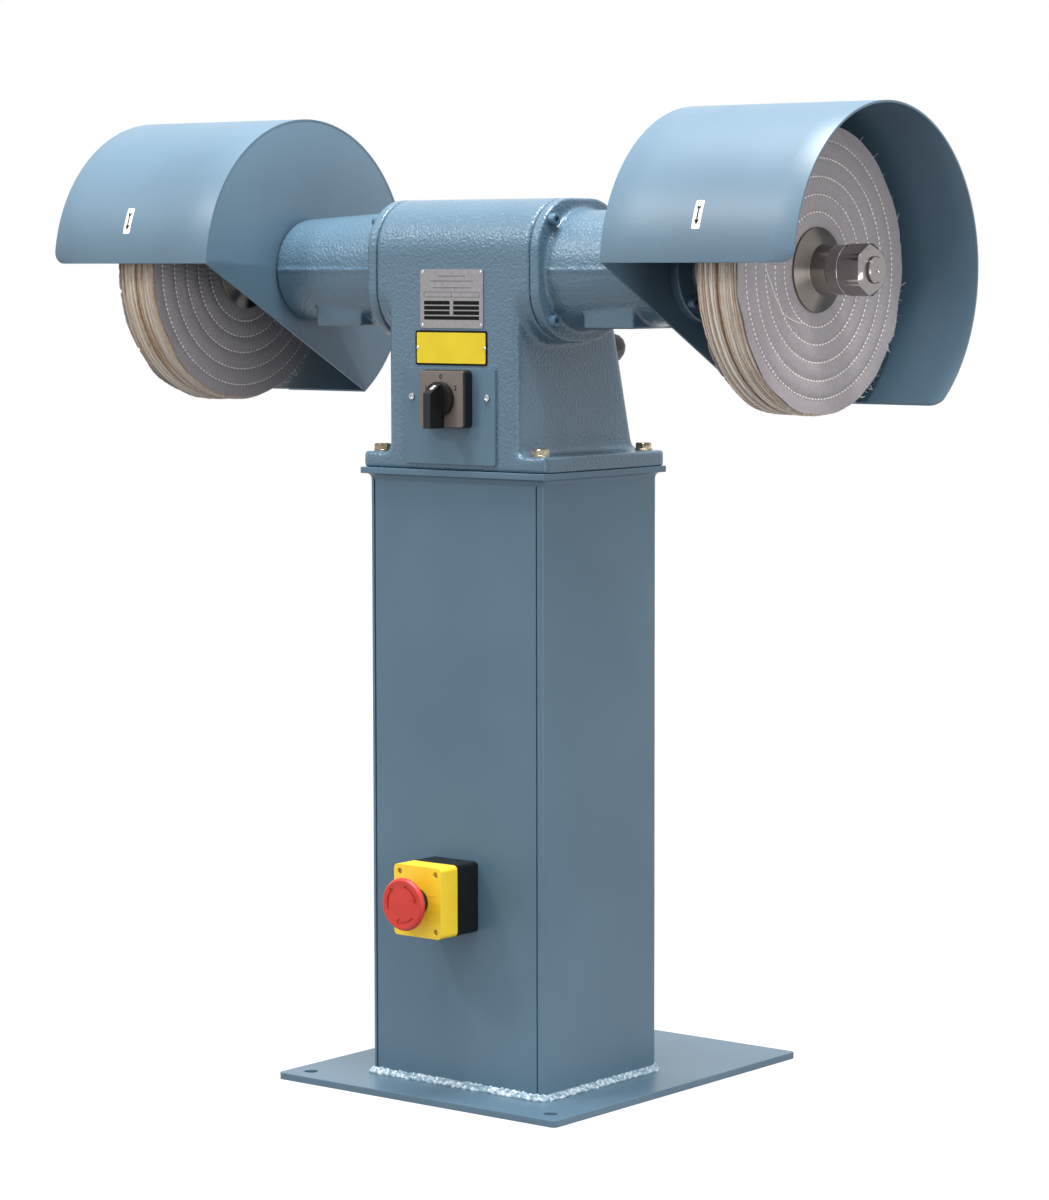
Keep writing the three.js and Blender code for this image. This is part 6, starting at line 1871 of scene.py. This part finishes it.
button_low, button_high = box_mm("stop_button")
head_back = -button_high.y
head_front = -button_low.y
HEAD = [
    (head_back, 7.3), (head_back, 12), (head_back + 3.5, 23), (head_back + 6, 28.4), (head_back + 8.6, 30),
    (head_front, 27.6), (head_front - DISH, 19.5), (head_front - 0.5, 0), (head_back + 6, 0),
    (head_back + 6, 7.3)]
HEAD_EDGES = [0, 1, 2, 1.5, 3, 2, 6, 0, 0, 0]
head = turned_forward("stop_button_head", HEAD, HEAD_EDGES)
arrows = [twist_arrow(start, button_low.y + DISH) for start in TWIST_STARTS]
cutter = joined("arrow_cutters", arrows)
modifier(head, "BOOLEAN", operation="DIFFERENCE", object=cutter, solver="EXACT")
settle(head)
drop(cutter)
wear(smooth_by_angle(head), "stop_button", RED_PLASTIC, ["stop_button"])

bezel_back = -box_mm("stop_bezel")[0].y - 8
BEZEL = [
    (bezel_back - 12, 7.5), (bezel_back - 12, 11), (bezel_back, 11), (bezel_back, 15.5),
    (bezel_back + 4, 15.5), (bezel_back + 8, 12.5), (bezel_back + 8, 7.5)]
bezel = turned_forward("stop_bezel_turned", BEZEL, [0, 0, 0, 0.8, 1.2, 1.2, 0.5])
wear(bezel, "machine", BLACK_PLASTIC, ["stop_bezel"])
box_base = dressed("stop_box_base", edge=1.5, steps=3)
wear(box_base, "machine", BLACK_PLASTIC, ["stop_box_base"])
box_cover = dressed("stop_box_cover", edge=1.5, steps=3)
wear(box_cover, "machine", YELLOW_PLASTIC, ["stop_box_cover"])

cover_low, cover_high = box_mm("stop_box_cover")
wells = [
    ((x, COVER_FRONT + WELL_DEPTH, z), PLATE_FRONT)
    for x in (cover_low.x + WELL_INSET, cover_high.x - WELL_INSET)
    for z in (cover_low.z + WELL_INSET, cover_high.z - WELL_INSET)]
wear(at_points("stop_cover_screws", wells, well_screw, BRIGHT_ZINC), "machine", None)
ridges = []
for width, x, z in COVER_LINES:
    outline = rectangle(width, COVER_LINE_WIDTH, STOP_MIDDLE.x + x, STOP_MIDDLE.z + z)
    ridges.append(front_slab("ridge", outline, COVER_FRONT, COVER_LINE_HEIGHT, YELLOW_PLASTIC))
wear(joined("stop_cover_ridges", ridges), "machine", YELLOW_PLASTIC)
print("emergency stop made, well screws:", len(wells))

# %% [markdown]
# ## Welds
#
# The column's foot is welded all round, and paint doesn't hide the ripples that each dip of the
# wire left. A plain fillet is swept round the column, small lumps follow it at the pitch of the
# ripples, and a fine voxel remesh melts them together. At the top the weld was ground smooth.

# %% Foot weld and top fillet
COLUMN_LOW, COLUMN_HIGH = box_mm("pedestal_column")
WELD_LEG = 7
RIPPLE_PITCH = 3.4
RIPPLE_TURN = (12, 12, 20)
RIPPLE_SIZES = (0.6, 1.2)
LUMP_SIZE = (1.9, 3.3, 3.0)
WELD_VOXEL = 0.85
WELD_ROUNDS = 2
WELD_ROWS = ((2.1, 2.1), (4.3, 0.9), (0.6, 4.9))


def round_column(spread, steps=8):
    width, depth = 2 * (COLUMN_HIGH.x + spread), COLUMN_HIGH.y - COLUMN_LOW.y + 2 * spread
    middle = (COLUMN_HIGH.y + COLUMN_LOW.y) / 2
    return softened(rectangle(width, depth, 0, middle), BEND_RADIUS + max(spread, -3), steps)


def swept_round(name, profile):
    """Sweeps a closed profile of (spread, z) points round the column."""
    outlines = [round_column(spread) for spread, z in profile]
    count = len(outlines[0])
    points = [(p.x, p.y, z) for outline, (spread, z) in zip(outlines, profile) for p in outline]
    faces = []
    for ring in range(len(profile)):
        a, b = ring * count, (ring + 1) % len(profile) * count
        for i in range(count):
            j = (i + 1) % count
            faces.append([a + i, a + j, b + j, b + i])
    return mesh_object(name, points, faces)


fillet = [(spread, COLUMN_LOW.z + rise) for spread, rise in circle_offsets(WELD_LEG - 1.5)]
foot_ring = swept_round("foot_ring", [(-1, COLUMN_LOW.z), *fillet, (-1, COLUMN_LOW.z + WELD_LEG)])
bpy.ops.mesh.primitive_ico_sphere_add(subdivisions=2, radius=MM)
lump = bpy.context.object
lump.data.transform(Matrix.Diagonal((*LUMP_SIZE, 1)))
paths = [[(p.x, p.y, COLUMN_LOW.z + rise) for p in round_column(spread, 12)] for spread, rise in WELD_ROWS]
ripples = along_path(
    "weld_ripples", paths, lump, RIPPLE_PITCH, WELD_ENAMEL_AND_PAINTED_HIGHLIGHTS, RIPPLE_TURN, RIPPLE_SIZES,
    (0, 0, COLUMN_LOW.z))
drop(lump)
foot_weld = cast_skin("foot_weld_bead", [foot_ring, ripples], WELD_VOXEL, WELD_ROUNDS)
wear(foot_weld, "machine", WELD_ENAMEL_AND_PAINTED_HIGHLIGHTS, ["foot_weld"])

ground = [(spread, COLUMN_HIGH.z - rise) for spread, rise in circle_offsets(WELD_LEG, 8)]
top_weld = swept_round("top_weld_fillet", [(-1, COLUMN_HIGH.z), *ground, (-1, COLUMN_HIGH.z - WELD_LEG)])
wear(top_weld, "machine", SHEET_ENAMEL, ["top_weld"])
print("foot weld faces:", len(foot_weld.data.polygons))

# %% [markdown]
# ## Arrow stickers, gland and hidden pieces
#
# Each guard has a small white sticker with an arrow for the direction in which the spindle turns.
# It is bent to the guard's radius. The cable gland on the rear keeps its shape with soft edges.
# Pieces inside the housing keep the model's meshes and get real finishes all the same.

# %% Stickers
STICKER = (10.5, 31)
STICKER_X = {"left": 412, "right": 400}
STICKER_Z = 984
STICKER_ARROW = [
    (0.9, -5.6), (0.9, 6.0), (2.5, 8.2), (2.5, 10.6), (0, 8.4), (-2.5, 10.6), (-2.5, 8.2), (-0.9, 6.0),
    (-0.9, -5.6), (-3.2, -5.0), (0, -11.2), (3.2, -5.0)]


def wrapped(name, outline, x, z, lift, thickness, step=1.5):
    """Cuts a flat outline of (x, height) points into narrow strips and wraps it round a guard."""
    flat = bmesh.new()
    flat.faces.new([flat.verts.new((u, v, 0)) for u, v in outline])
    lowest, highest = min(v for u, v in outline), max(v for u, v in outline)
    for cut in np.arange(lowest + step, highest, step):
        everything = flat.verts[:] + flat.edges[:] + flat.faces[:]
        bmesh.ops.bisect_plane(flat, geom=everything, plane_co=(0, cut, 0), plane_no=(0, 1, 0))
    bmesh.ops.triangulate(flat, faces=flat.faces)
    middle = math.pi - math.asin((z - SPINDLE.z) / GUARD_OUTSIDE)
    front = extrude_up(flat, thickness)
    for vertex in front.verts:
        reach = GUARD_OUTSIDE + lift + vertex.co.z
        angle = middle - vertex.co.y / GUARD_OUTSIDE
        y, z = SPINDLE.y + reach * math.cos(angle), SPINDLE.z + reach * math.sin(angle)
        vertex.co = MM * Vector((x + vertex.co.x, y, z))
    bmesh.ops.recalc_face_normals(front, faces=front.faces)
    mesh = bpy.data.meshes.new(name)
    front.to_mesh(mesh)
    front.free()
    return smooth_by_angle(new_object(name, mesh))


def extrude_up(flat, thickness):
    raised = bmesh.ops.extrude_face_region(flat, geom=flat.faces[:] + flat.edges[:] + flat.verts[:])
    for item in raised["geom"]:
        if isinstance(item, bmesh.types.BMVert):
            item.co.z += thickness
    return flat


for name, side in SIDES.items():
    x = side * STICKER_X[name]
    paper = softened(rectangle(*STICKER), 1.6, 4)
    white = wrapped(f"{name}_guard_sticker", paper, x, STICKER_Z, lift=0.05, thickness=0.12)
    wear(white, "machine", WHITE_PRINT)
    black = wrapped(f"{name}_guard_arrow", STICKER_ARROW, x, STICKER_Z, lift=0.12, thickness=0.14)
    wear(black, "machine", BLACK_PRINT)

gland = dressed("cable_gland", edge=0.7)
wear(gland, "machine", BLACK_PLASTIC, ["cable_gland"])

HIDDEN = {
    "stator": MOTOR_STEEL, "rotor": MOTOR_STEEL, "switch_contact_block": BLACK_PLASTIC,
    "stop_contact_block": BLACK_PLASTIC, "stop_stem": BLACK_PLASTIC}
for name in SIDES:
    HIDDEN[f"{name}_bearing_outer_ring"] = BEARING_STEEL
    HIDDEN[f"{name}_bearing_inner_ring"] = BEARING_STEEL
for node, material in HIDDEN.items():
    frame["nodes"][node].material_slots[0].material = material
drop(cap_screw, cover_screw, well_screw, foot_bolt, rivet)
print("hidden pieces painted:", len(HIDDEN))
